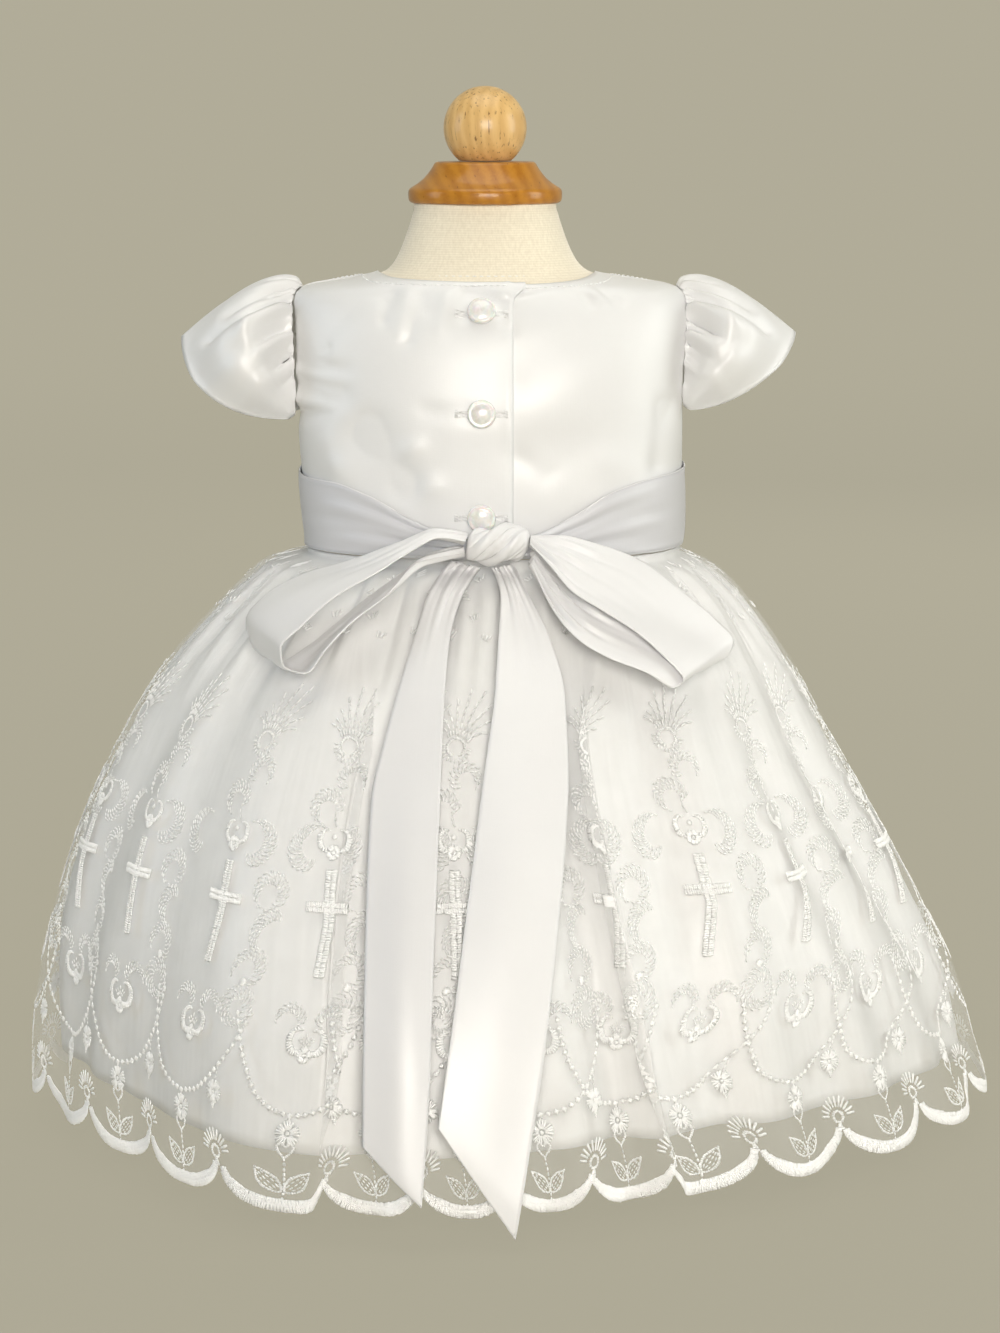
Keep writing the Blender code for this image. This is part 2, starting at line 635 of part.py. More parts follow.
BUTTON_PROFILE = ((0.0, 3.2), (2.4, 3.0), (4.3, 2.5), (5.1, 2.6), (5.8, 2.1), (BUTTON_RADIUS, 1.2), (5.2, 0.2), (4.0, 0.0),
                  (0.0, 0.0))
for name, height in BUTTON_HEIGHTS.items():
    angle = back_angle(BUTTON_X, height)
    normal = body_normal(angle, height)
    seat = body_point(angle, height, 2 * SATIN + 2.3 * SEAM_GAP)
    turned_object(name, BUTTON_PROFILE, PEARL, 16, seat, normal)

# ---------------------------------------------------------------- dress form

SHOULDER_RINGS = (342.0, 355.5, 362.8)  # closer rings where the shoulders turn
torso_heights = sorted([*BODY["height"][1:-1], *SHOULDER_RINGS])
torso_turn = np.arange(36) * 10.0
torso_rings = [body_point(torso_turn, np.full(36, h), -TORSO_INSET) for h in torso_heights]
bottom_ring = torso_rings[0] * np.array([0.86, 0.86, 1]) - np.array([0, 0, 5.0])
top_ring = body_surface(torso_turn, np.full(36, NECK_TOP))
solid_through("form_torso", [bottom_ring, *torso_rings, top_ring], JERSEY)

CAP_PROFILE = ((0.0, CAP_TOP), (20.6, CAP_TOP), (21.8, 420.2), (22.4, 418.6), (26.5, 413.4), (31.8, 409.6), (33.2, 408.2),
               (33.2, 405.0), (32.4, CAP_BOTTOM), (0.0, CAP_BOTTOM))
turned_object("form_cap", CAP_PROFILE, WOOD, 32, place=(-0.7, 0, 0))

seat_height = CAP_TOP + SEAM_GAP
seat_turn = math.acos((seat_height - BALL_CENTRE) / BALL_RADIUS)
ball_profile = [(BALL_RADIUS * math.sin(a), BALL_CENTRE + BALL_RADIUS * math.cos(a)) for a in np.linspace(0, seat_turn, 11)]
turned_object("form_ball", [*ball_profile, (0.0, seat_height)], WOOD, 24, place=(-0.7, 0, 0))

post_top = float(bottom_ring[0][2]) - SEAM_GAP
turned_object("form_post", ((0, post_top), (POST_RADIUS, post_top), (POST_RADIUS, FOOT_TOP + SEAM_GAP),
                            (0, FOOT_TOP + SEAM_GAP)), FOOT_PAINT, 16)
turned_object("form_foot", ((0, FOOT_TOP), (FOOT_RADIUS - 1.5, FOOT_TOP), (FOOT_RADIUS, FOOT_TOP - 1.5), (FOOT_RADIUS, 0),
                            (0, 0)), FOOT_PAINT, 40)
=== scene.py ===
"""The looks of a short christening gown on its dress form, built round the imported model.

World axes: X across the shoulders, +Y towards the gown's front, +Z up, with the floor at z = 0. The
gown's back, with its buttons and bow, faces -Y and the camera. Sizes are in millimetres here, and MM
turns them into Blender's metres where meshes are made.
Angles go round the body in degrees: 0 at +X (one side), 90 at +Y (front), -90 at -Y (back).
Bearings go round the skirt in degrees: 0 at the centre back, rising towards +X.
The way down the skirt is its fall: 0 at the waist and 1 at the hem.
The cloth follows the same surfaces as its solids, in finer steps and with its creases.
"""

import json
from math import asin, cos, exp, pi, radians, sin

import bpy
import numpy as np
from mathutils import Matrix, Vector

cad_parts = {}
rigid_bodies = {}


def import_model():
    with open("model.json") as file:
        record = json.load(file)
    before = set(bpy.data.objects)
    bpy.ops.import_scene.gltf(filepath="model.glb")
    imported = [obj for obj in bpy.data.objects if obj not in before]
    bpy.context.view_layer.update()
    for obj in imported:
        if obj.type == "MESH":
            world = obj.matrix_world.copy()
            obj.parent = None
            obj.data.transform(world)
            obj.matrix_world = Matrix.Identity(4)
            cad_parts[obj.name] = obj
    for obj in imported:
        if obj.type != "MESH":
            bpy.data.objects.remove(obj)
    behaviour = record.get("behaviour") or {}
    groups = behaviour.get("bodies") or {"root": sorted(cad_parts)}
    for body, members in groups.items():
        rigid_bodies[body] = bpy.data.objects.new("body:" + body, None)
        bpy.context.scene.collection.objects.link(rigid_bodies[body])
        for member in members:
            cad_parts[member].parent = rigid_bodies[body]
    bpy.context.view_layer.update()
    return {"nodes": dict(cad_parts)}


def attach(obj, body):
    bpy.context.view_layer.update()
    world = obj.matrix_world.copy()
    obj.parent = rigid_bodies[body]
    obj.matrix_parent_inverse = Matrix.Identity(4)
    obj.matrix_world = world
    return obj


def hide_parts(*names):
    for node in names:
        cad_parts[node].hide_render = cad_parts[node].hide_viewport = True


for old in list(bpy.data.objects):
    bpy.data.objects.remove(old, do_unlink=True)

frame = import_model()
MM = 0.001

# ---------------------------------------------------------------- sizes that the solids have too

SEAM_GAP = 0.4
SATIN = 1.2  # a solid's wall, in which the thinner cloth lies
ORGANZA = 1.0
WAIST = 255.0
UNDERARM = 293.0
SHOULDER = 366.0
NECK_SIDE = 372.8
NECK_BACK = 369.2
NECK_FRONT = 352.0
NECK_TOP = 402.6
BODY_ROUNDNESS = 2.3
TORSO_INSET = 1.5
ARMHOLE_BACK = 11.0
ARMHOLE_FRONT = 19.0
PLACKET_EDGE = 11.0
PLACKET_UNDER = -11.0
REPEATS = 28  # scallops, and so repeats of the pattern
SCALLOP_DEPTH = 16.0
HEM = 12.0
LINING_HEM = 34.0
GATHERS = 28
GATHER_DEPTH = 2.4
CROWDING = (0.27, -1.58, -2.35)
FOLD_LIFT = 3.2
SLEEVE_GATHERS = 8
SLEEVE_GATHER_DEPTH = 1.3
BUTTON_X = -2.0
BUTTON_HEIGHTS = {"button_top": 357.3, "button_middle": 316.6, "button_low": 273.2}
BALL_RADIUS = 17.9
BALL_CENTRE = 435.0
CAP_TOP = 420.6
FORM_X = -0.7
KNOT_CENTRE = (4.6, -76.4, 263.4)
KNOT_DEPTH = 0.95

CLOTH = 0.7  # thickness of the satin as it shows
SHEER = 0.45  # of the organza
RIBBON = 0.6  # of the sash and bow


def rows_of(width, text):
    """The numbers in a text, as rows of this width."""
    return np.array(text.split(), float).reshape(-1, width)


def table(columns, text):
    """A text of numbers as a dict of named columns."""
    names = columns.split()
    return dict(zip(names, rows_of(len(names), text).T))


BODY = table("height half_width half_depth shift_x", """
150 60 44 0
156 70 52 0
180 77 58 1
215 79.5 60 2.5
255 80.3 60.5 3
285 81.5 61.5 2.2
310 83.5 61.5 1.5
335 84.8 58.5 1
350 85.3 54.5 1
360 84.8 49.5 1
364.6 83 46 1
367.2 78 43.8 0.8
369 68 42 0.5
370.6 57 40.5 0.2
372.4 47.5 39 0
375 43.2 37.6 -0.3
380 39.6 35.6 -0.5
388 36.2 33.4 -0.6
395 33.8 31.6 -0.6
400.6 31.8 30.2 -0.7
402.6 28.6 27.2 -0.7
""")
SKIRT = table("height half_width half_depth shift_x", """
255 82.1 62.3 3
252.4 82.1 62.3 3
247.5 95 71.5 -0.8
240 104 79 -0.5
225 117.5 91.5 -1.8
203 134.5 111 -3.8
172 152.5 136 -4.8
140 169.5 159 -3.5
104 185.5 180 0
68 199 195 4.4
40 205 202 6.6
12 209 207 10
""")
HEM_LEAN = table("bearing out", """
-180 0
-135 -6
-90 0
-62 -13
-40 -7
-15 7
15 -12
40 -20
62 -13
84 0
135 -6
180 0
""")
FOLDS = table("top hem width depth hem_depth", """
-172 -172 6 8 9
-155 -156 5 8 7
-139 -138 6.5 7 9
-124 -123 5 8 7
-111 -111 6 7 9
-97 -98 4.6 6 8
-60 -76 5 5 5
-42 -52 5 3 4
-31.5 -30 8 -7 -6
-12 -15 3.5 9 9
-3.5 -5.5 3.6 3 6
4.5 4 3.8 4 7
14 15 3.6 14 12
29.5 28 4.8 10 7
38 46 5 3 5
48 64 4 7 4
63 79 4.4 9 6
99 99 5 6 8
112 112 6 7 8
126 126 5 7 9
142 143 6 8 7
157 158 5.5 7 9
172 173 4.5 7 7
""")
# Deep pleats whose lip hangs over the hollow beside it: bearings at both ends, the lip's half width
# in degrees and how far it is drawn over the hollow.
LAPS = table("top hem width reach", """
23.6 24.6 3 -6.6
-22.4 -24.4 3 6.4
""")
SASH = table("bearing bottom top out", """
-180 256.5 292.5 1.9
-90 256 288 1.9
-72 256 286.6 1.9
-52 256 286 2.1
-36 256.3 281.5 2.6
-20 257 271.5 3.6
-9 257.4 266 5
0 257.6 264.5 5.6
9 257.4 266 5
20 257 273 3.6
36 256.3 283.5 2.6
52 256.3 287.5 2.1
72 256.5 289 1.9
90 256.5 290 1.9
180 256.5 292.5 1.9
""")
LOOP_LEFT = table("far_x far_y far_z near_x near_y near_z", """
-8.6 -71.5 265.6 -8.8 -81 265.2
-21 -74 268.8 -20 -89 267.8
-36 -75 264.3 -32 -97 262.6
-56 -75 256.8 -45.5 -102 254.6
-78 -74 250 -62 -104.5 245.4
-94.5 -72.5 240 -75.5 -105 233.5
-100.8 -71.5 230.5 -84.6 -104.5 224
-97 -76 219.5 -83.6 -104.5 216.6
-86 -86 215.5 -74.5 -106.5 213.6
-73 -89 223 -65.5 -108 224.3
-57 -86.5 236 -54.5 -107 235.6
-39 -80 249 -41.5 -102 245
-22 -76 258.5 -27 -90 258
-9.3 -72.5 261.5 -9.2 -80.5 260.5
""")
LOOP_RIGHT = table("far_x far_y far_z near_x near_y near_z", """
18.1 -72 266.4 18.3 -81 264.2
31 -74 266.8 26.5 -90 256.4
47.5 -75 263 35.5 -96.5 246.6
64.3 -75 256.6 47.5 -100 239.4
81.3 -74 244 61.5 -102 230.6
96 -73 231.6 73 -101.5 220.5
103.8 -73.5 222.4 81.6 -101 210.6
98.5 -79 215.5 77 -102 207.2
84 -86 220.5 66 -105 214
66 -89 231 52 -105 219.4
48.5 -87 241.5 39.5 -103.5 226.3
33 -79 251.5 28.5 -94 237.2
18.8 -73.5 261 18.8 -82 256
""")
TAIL_LEFT = table("left_height left_x right_height right_x lift", """
256 -14 253.5 -2.5 7
245 -23 243 -10.5 5
228 -29 226 -15.5 3.4
208 -35.4 208 -17.2 2.8
188 -41.2 186 -18.2 2.6
168 -45.8 164 -19 2.6
140 -47 136 -20 2.6
111 -47.4 104 -21 2.6
76 -47.7 63 -22.2 2.8
41.5 -48 19.2 -25.2 3
""")
TAIL_RIGHT = table("left_height left_x right_height right_x lift", """
253.5 2.6 255 10.5 7
243 6.6 241.5 18.5 5
226 5.6 226 26.5 3.6
206 4.2 205 32 2.8
176 -0.3 176 33.2 2.6
150 -3.8 148 31.5 2.6
124 -7.4 118 28.2 2.6
90 -12 78 23.4 2.8
48.5 -18.1 5.2 11.6 3
""")
SLEEVES = table("side reach tip_height end_height hem_power", """
-1 134.2 345 313 1
1 133.6 346.8 317 1.32
""")
KNOT = table("along radius", """
-12.6 3.2
-11.4 5.6
-7.5 6.9
-2.5 7.3
2.5 7.6
7.5 7.4
11.4 6
12.6 3.2
""")


def smooth(xs, ys, x):
    """Monotone cubic interpolation of one table column, level past its ends."""
    if xs[0] > xs[-1]:
        xs, ys = xs[::-1], ys[::-1]
    x = np.clip(np.asarray(x, float), xs[0], xs[-1])
    steps = np.diff(xs)
    slopes = np.diff(ys) / steps
    tangents = np.zeros(len(xs))
    for k in range(1, len(xs) - 1):
        if slopes[k - 1] * slopes[k] > 0:
            left = 2 * steps[k] + steps[k - 1]
            right = steps[k] + 2 * steps[k - 1]
            tangents[k] = (left + right) / (left / slopes[k - 1] + right / slopes[k])
    i = np.clip(np.searchsorted(xs, x, side="right") - 1, 0, len(steps) - 1)
    t = (x - xs[i]) / steps[i]
    value = ys[i] * (1 + 2 * t) * (1 - t) ** 2 + ys[i + 1] * t * t * (3 - 2 * t)
    return value + steps[i] * (tangents[i] * t * (1 - t) ** 2 + tangents[i + 1] * t * t * (t - 1))


def read(stations, x):
    """The other columns of a table, read at x on its first column."""
    first, *others = stations.values()
    return [smooth(first, column, x) for column in others]


def along(stations, count):
    """All columns of a table, read at evenly spaced places from its first row to its last."""
    columns = list(stations.values())
    rows = np.arange(len(columns[0]), dtype=float)
    return [smooth(rows, column, np.linspace(0, rows[-1], count)) for column in columns]


def ramp(x, start, end):
    """0 before start, 1 after end, smooth between."""
    t = np.clip((np.asarray(x, float) - start) / (end - start), 0, 1)
    return t * t * (3 - 2 * t)


def bump(x, width):
    """A soft hump of height 1 about 0."""
    return np.exp(-((np.asarray(x, float) / width) ** 2))


def signed_power(value, power):
    return np.sign(value) * np.abs(value) ** power


def points(x, y, z):
    """Arrays of coordinates as one array whose last axis is x, y, z."""
    return np.stack(np.broadcast_arrays(x, y, z), axis=-1).astype(float)


def unit(vectors):
    return vectors / np.maximum(np.linalg.norm(vectors, axis=-1, keepdims=True), 1e-9)


def summed(steps):
    return np.concatenate([[0], np.cumsum(steps)])


def travelled(path):
    """How far along a path each of its points lies."""
    return summed(np.linalg.norm(np.diff(path, axis=0), axis=1))


# ---------------------------------------------------------------- surfaces


def rounded(wide, deep, shift, aside, ahead, power, height):
    """A point of an outline between an ellipse and a rounded box. aside and ahead are of a unit circle."""
    return points(wide * signed_power(aside, power) + shift, deep * signed_power(ahead, power), height)


def body_surface(angle, height):
    a = np.radians(np.asarray(angle, float))
    return rounded(*read(BODY, height), np.cos(a), np.sin(a), 2 / BODY_ROUNDNESS, height)


def body_normal(angle, height):
    low, high = (np.clip(np.add(height, step), BODY["height"][0], NECK_TOP) for step in (-0.5, 0.5))
    around = body_surface(np.add(angle, 1.0), height) - body_surface(np.subtract(angle, 1.0), height)
    return unit(np.cross(around, body_surface(angle, high) - body_surface(angle, low)))


def body_point(angle, height, out=0.0):
    """A point moved out of the body along its normal."""
    return body_surface(angle, height) + body_normal(angle, height) * np.asarray(out, float)[..., None]


def back_angle(x, height):
    """Angle on the back at which the body has this x."""
    wide, _, shift = read(BODY, height)
    return -90.0 + np.degrees(np.arcsin(signed_power((x - shift) / wide, BODY_ROUNDNESS / 2)))


def turned(bearing):
    """The same bearing between -180 and 180."""
    return (bearing + 180.0) % 360.0 - 180.0


def beside(bearing, fall, top, hem):
    """Degrees from a line down the skirt that starts at the bearing top and ends at the bearing hem."""
    return turned(bearing - (top + (hem - top) * fall))


def fold_offset(bearing, fall):
    """How far the folds move the skirt's wall."""
    offset = FOLD_LIFT * ramp(fall, 0.03, 0.35)
    for top, hem, width, depth, hem_depth in zip(*FOLDS.values()):
        hollow = (depth + (hem_depth - depth) * ramp(fall, 0.55, 1.0)) * ramp(fall, 0.02, 0.40)
        offset = offset - hollow * bump(beside(bearing, fall, top, hem), width * (1.3 - 0.3 * fall))
    return offset


def fine_gathers(bearing, fall):
    """Small uneven gathers under the waist seam and soft ripples below them."""
    b = np.radians(bearing)
    close = np.sin(61 * b + 1.4 * np.sin(5 * b)) + 0.6 * np.sin(97 * b + 2.0 * np.sin(7 * b + 1))
    wide = np.sin(37 * b + 1.8 * np.sin(3 * b)) + 0.7 * np.sin(23 * b + 2.2 * np.sin(4 * b + 2))
    top = ramp(fall, 0.02, 0.05)
    ripples = 0.30 * wide * top * (1 - 0.55 * ramp(fall, 0.3, 0.9))
    return 0.75 * close * top * (1 - ramp(fall, 0.08, 0.30)) + ripples


def lapped(bearing, fall, share=1.0):
    """The bearing of a point of the cloth once the pleats' lips are drawn over their hollows."""
    moved = bearing
    for top, hem, width, reach in zip(*LAPS.values()):
        drawn = share * reach * ramp(fall, 0.10, 0.30) * (1 - 0.6 * ramp(fall, 0.75, 1.0))
        moved = moved + drawn * bump(beside(bearing, fall, top, hem), width)
    return moved


def skirt_point(bearing, height, inward=0.0, folded=1.0, lap=1.0):
    """A point of the overlay's inner side, moved inward. folded 0 leaves out its folds and gathers."""
    bearing = np.asarray(bearing, float)
    fall = (WAIST - np.asarray(height, float)) / (WAIST - HEM)
    wide, deep, shift = read(SKIRT, height)
    lean = read(HEM_LEAN, turned(bearing))[0] * ramp(fall, 0.15, 1.0)
    gather = GATHER_DEPTH * ramp(fall, 0.015, 0.045) * (1 - ramp(fall, 0.06, 0.36))
    wave = gather * np.cos(np.radians(bearing) * GATHERS) + fine_gathers(bearing, fall)
    out = lean + folded * (wave + fold_offset(bearing, fall)) + (1 - folded) * (gather + FOLD_LIFT) - inward
    power = 2 / BODY_ROUNDNESS + (1 - 2 / BODY_ROUNDNESS) * ramp(fall, 0.0, 0.2)
    b = np.radians(lapped(bearing, fall, lap * folded))
    return rounded(wide + out, -(deep + out), shift, np.sin(b), np.cos(b), power, height)


def repeat_bearing(repeat):
    """Bearing of a place counted in repeats. The first scallop's middle is 0, the centre back 0.5."""
    turn = 2 * pi * (repeat - 0.5) / REPEATS
    crowd = sum(size * np.sin((n + 1) * turn) / (n + 1) for n, size in enumerate(CROWDING))
    return 360.0 / REPEATS * (repeat - 0.5) + REPEATS / (2 * pi) * crowd


def scallop(repeat):
    """Height of the scalloped edge above its lowest points."""
    across = np.abs((repeat + 0.5) % 1.0 - 0.5) * 2
    return SCALLOP_DEPTH * (1 - np.sqrt(1 - 0.97 * across**2))


def neckline(angle):
    turn = np.sin(np.radians(angle))
    return NECK_SIDE - np.where(turn < 0, NECK_SIDE - NECK_BACK, NECK_SIDE - NECK_FRONT) * turn**2


def armhole(height, cut):
    """Degrees from the side to the armhole's edge."""
    t = np.clip((height - UNDERARM) / (SHOULDER - UNDERARM), 0, 1)
    half_gap = np.degrees(0.5 * SEAM_GAP / np.maximum(read(BODY, height)[0] * 0.55, 20))
    return half_gap + cut * np.sqrt(1 - (2 * t - 1) ** 4)


def over_skirt(x, height, lift):
    """A point in front of the skirt's back, lifted off its unfolded outline."""
    outline = skirt_point(np.linspace(-60, 60, 241), max(float(height), HEM), folded=0.0)
    return np.array([x, np.interp(x, outline[:, 0], outline[:, 1]) - ORGANZA - lift, height])


# ---------------------------------------------------------------- meshes

# A finish is a material and a slot's name.


def placed(name, data):
    """A new object in the scene."""
    obj = bpy.data.objects.new(name, data)
    bpy.context.scene.collection.objects.link(obj)
    return obj


def smooth_mesh(name, verts, faces, material):
    """A mesh object from points in millimetres."""
    mesh = bpy.data.meshes.new(name)
    mesh.from_pydata((np.asarray(verts, float).reshape(-1, 3) * MM).tolist(), [], faces)
    mesh.materials.append(material)
    mesh.shade_smooth()
    return placed(name, mesh)


def make_object(name, verts, faces, finish, node=None, lengths=None):
    """A piece of the part, in the place of a node. lengths gives each point's place on the flat cloth."""
    material, slot = finish
    obj = smooth_mesh(name, verts, faces, material)
    if lengths is not None:
        layer = obj.data.uv_layers.new(name="cloth")
        corners = np.empty(len(obj.data.loops), np.int32)
        obj.data.loops.foreach_get("vertex_index", corners)
        layer.data.foreach_set("uv", (lengths.reshape(-1, 2)[corners] * MM).ravel())
    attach(obj, "root")
    if node:
        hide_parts(node)
    return obj


def grid_faces(rows, columns, closed=False):
    low = np.arange(rows - 1)[:, None] * columns
    c = np.arange(columns if closed else columns - 1)[None, :]
    d = (c + 1) % columns
    quads = np.stack(np.broadcast_arrays(low + c, low + d, low + columns + d, low + columns + c), axis=-1)
    return quads.reshape(-1, 4).tolist()


def cloth(name, grid, finish, wall, node, closed=False, side=1.0):
    """A cloth piece: a grid of points, thickened to one side. Rows run upwards, columns anticlockwise."""
    across = summed(np.linalg.norm(np.diff(grid, axis=1), axis=-1).mean(0))
    up = summed(np.linalg.norm(np.diff(grid, axis=0), axis=-1).mean(1))
    flat = np.stack(np.meshgrid(across, up), axis=-1)
    obj = make_object(name, grid, grid_faces(*grid.shape[:2], closed), finish, node, flat)
    thicken = obj.modifiers.new("wall", "SOLIDIFY")
    thicken.thickness = wall * MM
    thicken.offset = side
    return obj


def tube(name, paths, radius, finish, sides=6, closed=False):
    """Round cords along paths of points, all in one object."""
    verts, faces, lengths = [], [], []
    turn = np.arange(sides) * 2 * pi / sides
    for path in paths:
        path = np.asarray(path, float)
        tangent = unit(np.gradient(path, axis=0))
        guide = np.where(np.abs(tangent[:, 2:3]) > 0.9, [[0.0, 1.0, 0.0]], [[0.0, 0.0, 1.0]])
        first = unit(np.cross(tangent, guide))[:, None]
        second = np.cross(tangent, first[:, 0])[:, None]
        ring = first * np.cos(turn)[None, :, None] + second * np.sin(turn)[None, :, None]
        start, count = len(verts), len(path)
        verts.extend((path[:, None] + ring * radius).reshape(-1, 3))
        flat = np.broadcast_arrays(travelled(path)[:, None], turn * radius)
        lengths.extend(np.stack(flat, axis=-1).reshape(-1, 2))
        for i in range(count if closed else count - 1):
            a, b = start + i * sides, start + (i + 1) % count * sides
            faces.extend((a + s, b + s, b + (s + 1) % sides, a + (s + 1) % sides) for s in range(sides))
        if not closed:
            faces.append([start + s for s in range(sides)])
            faces.append([start + (count - 1) * sides + s for s in reversed(range(sides))])
    return make_object(name, verts, faces, finish, lengths=np.array(lengths))


def turned_piece(name, profile, finish, steps, node, place, facing=(0, 0, 1)):
    """A turned piece from (radius, height) points down its outer side, with its axis along facing."""
    turn = np.arange(steps) * 2 * pi / steps
    rings = points(profile[:, :1] * np.cos(turn), profile[:, :1] * np.sin(turn), profile[:, 1:])
    rotate = np.array(Vector(facing).to_track_quat("Z", "Y").to_matrix())
    faces = [face[::-1] for face in grid_faces(len(profile), steps, True)]
    faces.append(list(range(steps)))
    faces.append([(len(profile) - 1) * steps + s for s in reversed(range(steps))])
    return make_object(name, rings.reshape(-1, 3) @ rotate.T + np.array(place), faces, finish, node)


# ---------------------------------------------------------------- materials


class Look:
    """A node material with its Principled shader at hand."""

    def __init__(self, name, colour, roughness, **sockets):
        self.material = bpy.data.materials.new(name)
        self.material.use_nodes = True
        self.material.diffuse_color = (*colour, 1.0)
        self.nodes = self.material.node_tree.nodes
        self.links = self.material.node_tree.links
        self.set(base_color=(*colour, 1.0), roughness=roughness, **sockets)

    def fill(self, node, inputs):
        """Sets or links inputs of a node, given by number or by their names in small letters."""
        for key, value in inputs.items():
            if isinstance(key, str):
                key = key.replace("_", " ").title().replace("Ior", "IOR")
            if isinstance(value, bpy.types.NodeSocket):
                self.links.new(value, node.inputs[key])
            else:
                node.inputs[key].default_value = value

    def set(self, **inputs):
        """Fills inputs of the shader, and gives the material."""
        self.fill(self.nodes["Principled BSDF"], inputs)
        return self.material

    def add(self, kind, inputs=(), **settings):
        node = self.nodes.new("ShaderNode" + kind)
        for key, value in settings.items():
            setattr(node, key, value)
        self.fill(node, dict(inputs))
        return node

    def place(self, source="Object", scale=(1, 1, 1), rotation=(0, 0, 0)):
        """Object coordinates, or the cloth's own lengths, in metres times scale."""
        start = self.add("TexCoord").outputs[source]
        return self.add("Mapping", {"vector": start, "scale": scale, "rotation": rotation}).outputs[0]

    def noise(self, place, scale, detail=3.0, roughness=0.5, distortion=0.0):
        inputs = dict(vector=place, scale=scale, detail=detail, roughness=roughness, distortion=distortion)
        return self.add("TexNoise", inputs).outputs["Fac"]

    def wave(self, place, period, direction="X", distortion=0.0, detail_scale=1.0):
        """Bands whose period is in millimetres."""
        inputs = dict(vector=place, scale=pi / 10 / (period * MM), distortion=distortion, detail=2.0,
                      detail_scale=detail_scale)
        return self.add("TexWave", inputs, bands_direction=direction).outputs["Fac"]

    def spread(self, value, low, high, start=0.0, end=1.0):
        inputs = dict(value=value, from_min=start, from_max=end, to_min=low, to_max=high)
        return self.add("MapRange", inputs).outputs[0]

    def mix(self, value, first, second, start=0.0, end=1.0):
        node = self.add("ValToRGB", {0: value})
        for stop, colour, position in zip(node.color_ramp.elements, (first, second), (start, end)):
            stop.position, stop.color = position, (*colour, 1.0)
        return node.outputs["Color"]

    def math(self, operation, first, second):
        return self.add("Math", {0: first, 1: second}, operation=operation).outputs[0]

    def relief(self, height, distance, strength=1.0, **under):
        inputs = dict(height=height, distance=distance * MM, strength=strength, **under)
        return self.add("Bump", inputs).outputs["Normal"]


THREADS = 1 / (0.25 * MM)  # weave threads to the metre


def satin(name, colour, shade, roughness, gloss):
    """Satin: long floats across the cloth, slubs along its length, and a soft broad gloss."""
    look = Look(name, colour, roughness, anisotropic=0.45, specular_ior_level=gloss, sheen_weight=0.1)
    cloudy = look.noise(look.place("UV"), 45.0)
    floats = look.noise(look.place("UV", (0.12, 1, 1)), THREADS * 0.8, 2.0)
    slubs = look.noise(look.place("UV", (1, 0.04, 1)), THREADS * 0.5, 2.0)
    soft = look.relief(look.noise(look.place(), 60.0), 0.5, 0.35)
    fine = look.relief(slubs, 0.05, 0.5, normal=soft)
    return look.set(
        base_color=look.mix(cloudy, shade, colour),
        roughness=look.spread(floats, roughness - 0.05, roughness + 0.09),
        tangent=look.add("Tangent", direction_type="UV_MAP", uv_map="cloth").outputs[0],
        normal=look.relief(floats, 0.05, 0.5, normal=fine))


def organza():
    """Sheer organza: crisp and nearly even, a little denser where its threads bunch."""
    look = Look("organza_cloth", (0.90, 0.90, 0.91), 0.40, sheen_weight=0.3, sheen_roughness=0.4)
    bunched = look.noise(look.place("UV", (1, 0.05, 1)), 420.0)
    cloudy = look.noise(look.place("UV"), 40.0)
    weave = look.noise(look.place("UV"), THREADS, 1.0)
    dense = look.spread(cloudy, 0.065, 0.095, 0.3, 0.7)
    return look.set(
        alpha=look.math("ADD", look.spread(bunched, -0.010, 0.010, 0.3, 0.7), dense),
        base_color=look.mix(cloudy, (0.87, 0.87, 0.88), (0.93, 0.93, 0.93)),
        normal=look.relief(weave, 0.04, 0.3))


def thread(name, colour, roughness, tilt, ply, dark, light, strength, shine=None, **sockets):
    """Thread whose plies are twisted round each other. shine is a range of roughness across them."""
    look = Look(name, colour, roughness, **sockets)
    plies = look.wave(look.place(rotation=tilt), ply, "DIAGONAL", 1.0)
    if shine:
        look.set(roughness=look.spread(plies, *shine))
    return look.set(base_color=look.mix(plies, dark, light), normal=look.relief(plies, 0.08, strength))


def pearl():
    """Pearly plastic: milky, with cloudy bands under a clear gloss."""
    look = Look("pearl_button", (0.90, 0.895, 0.875), 0.16, coat_weight=0.8, coat_roughness=0.06,
                subsurface_weight=0.35, subsurface_scale=0.003, sheen_weight=0.1)
    bands = look.noise(look.place(), 260.0, 4.0, 0.55, 1.6)
    return look.set(
        base_color=look.mix(look.spread(bands, 0, 1, 0.3, 0.7), (0.70, 0.69, 0.665), (0.87, 0.865, 0.85)),
        roughness=look.spread(bands, 0.12, 0.26),
        normal=look.relief(bands, 0.15, 0.3))


def jersey():
    """Fine ribbed cotton jersey, stretched over the form."""
    look = Look("cream_jersey", (0.80, 0.73, 0.60), 0.85, sheen_weight=0.3, sheen_roughness=0.5)
    ribs = look.wave(look.place(), 1.0, "Z", 0.8, 6.0)
    knit = look.noise(look.place("Object", (1, 1, 0.35)), 1100.0)
    both = look.math("MULTIPLY", look.spread(ribs, 0.82, 1.0), look.spread(knit, 0.72, 1.0, 0.3, 0.7))
    tone = look.math("MULTIPLY", both, look.spread(look.noise(look.place(), 38.0), 0.9, 1.06))
    return look.set(
        base_color=look.mix(tone, (0.54, 0.46, 0.325), (0.93, 0.855, 0.70)),
        roughness=look.spread(knit, 0.78, 0.95),
        normal=look.relief(both, 0.3, 0.6))


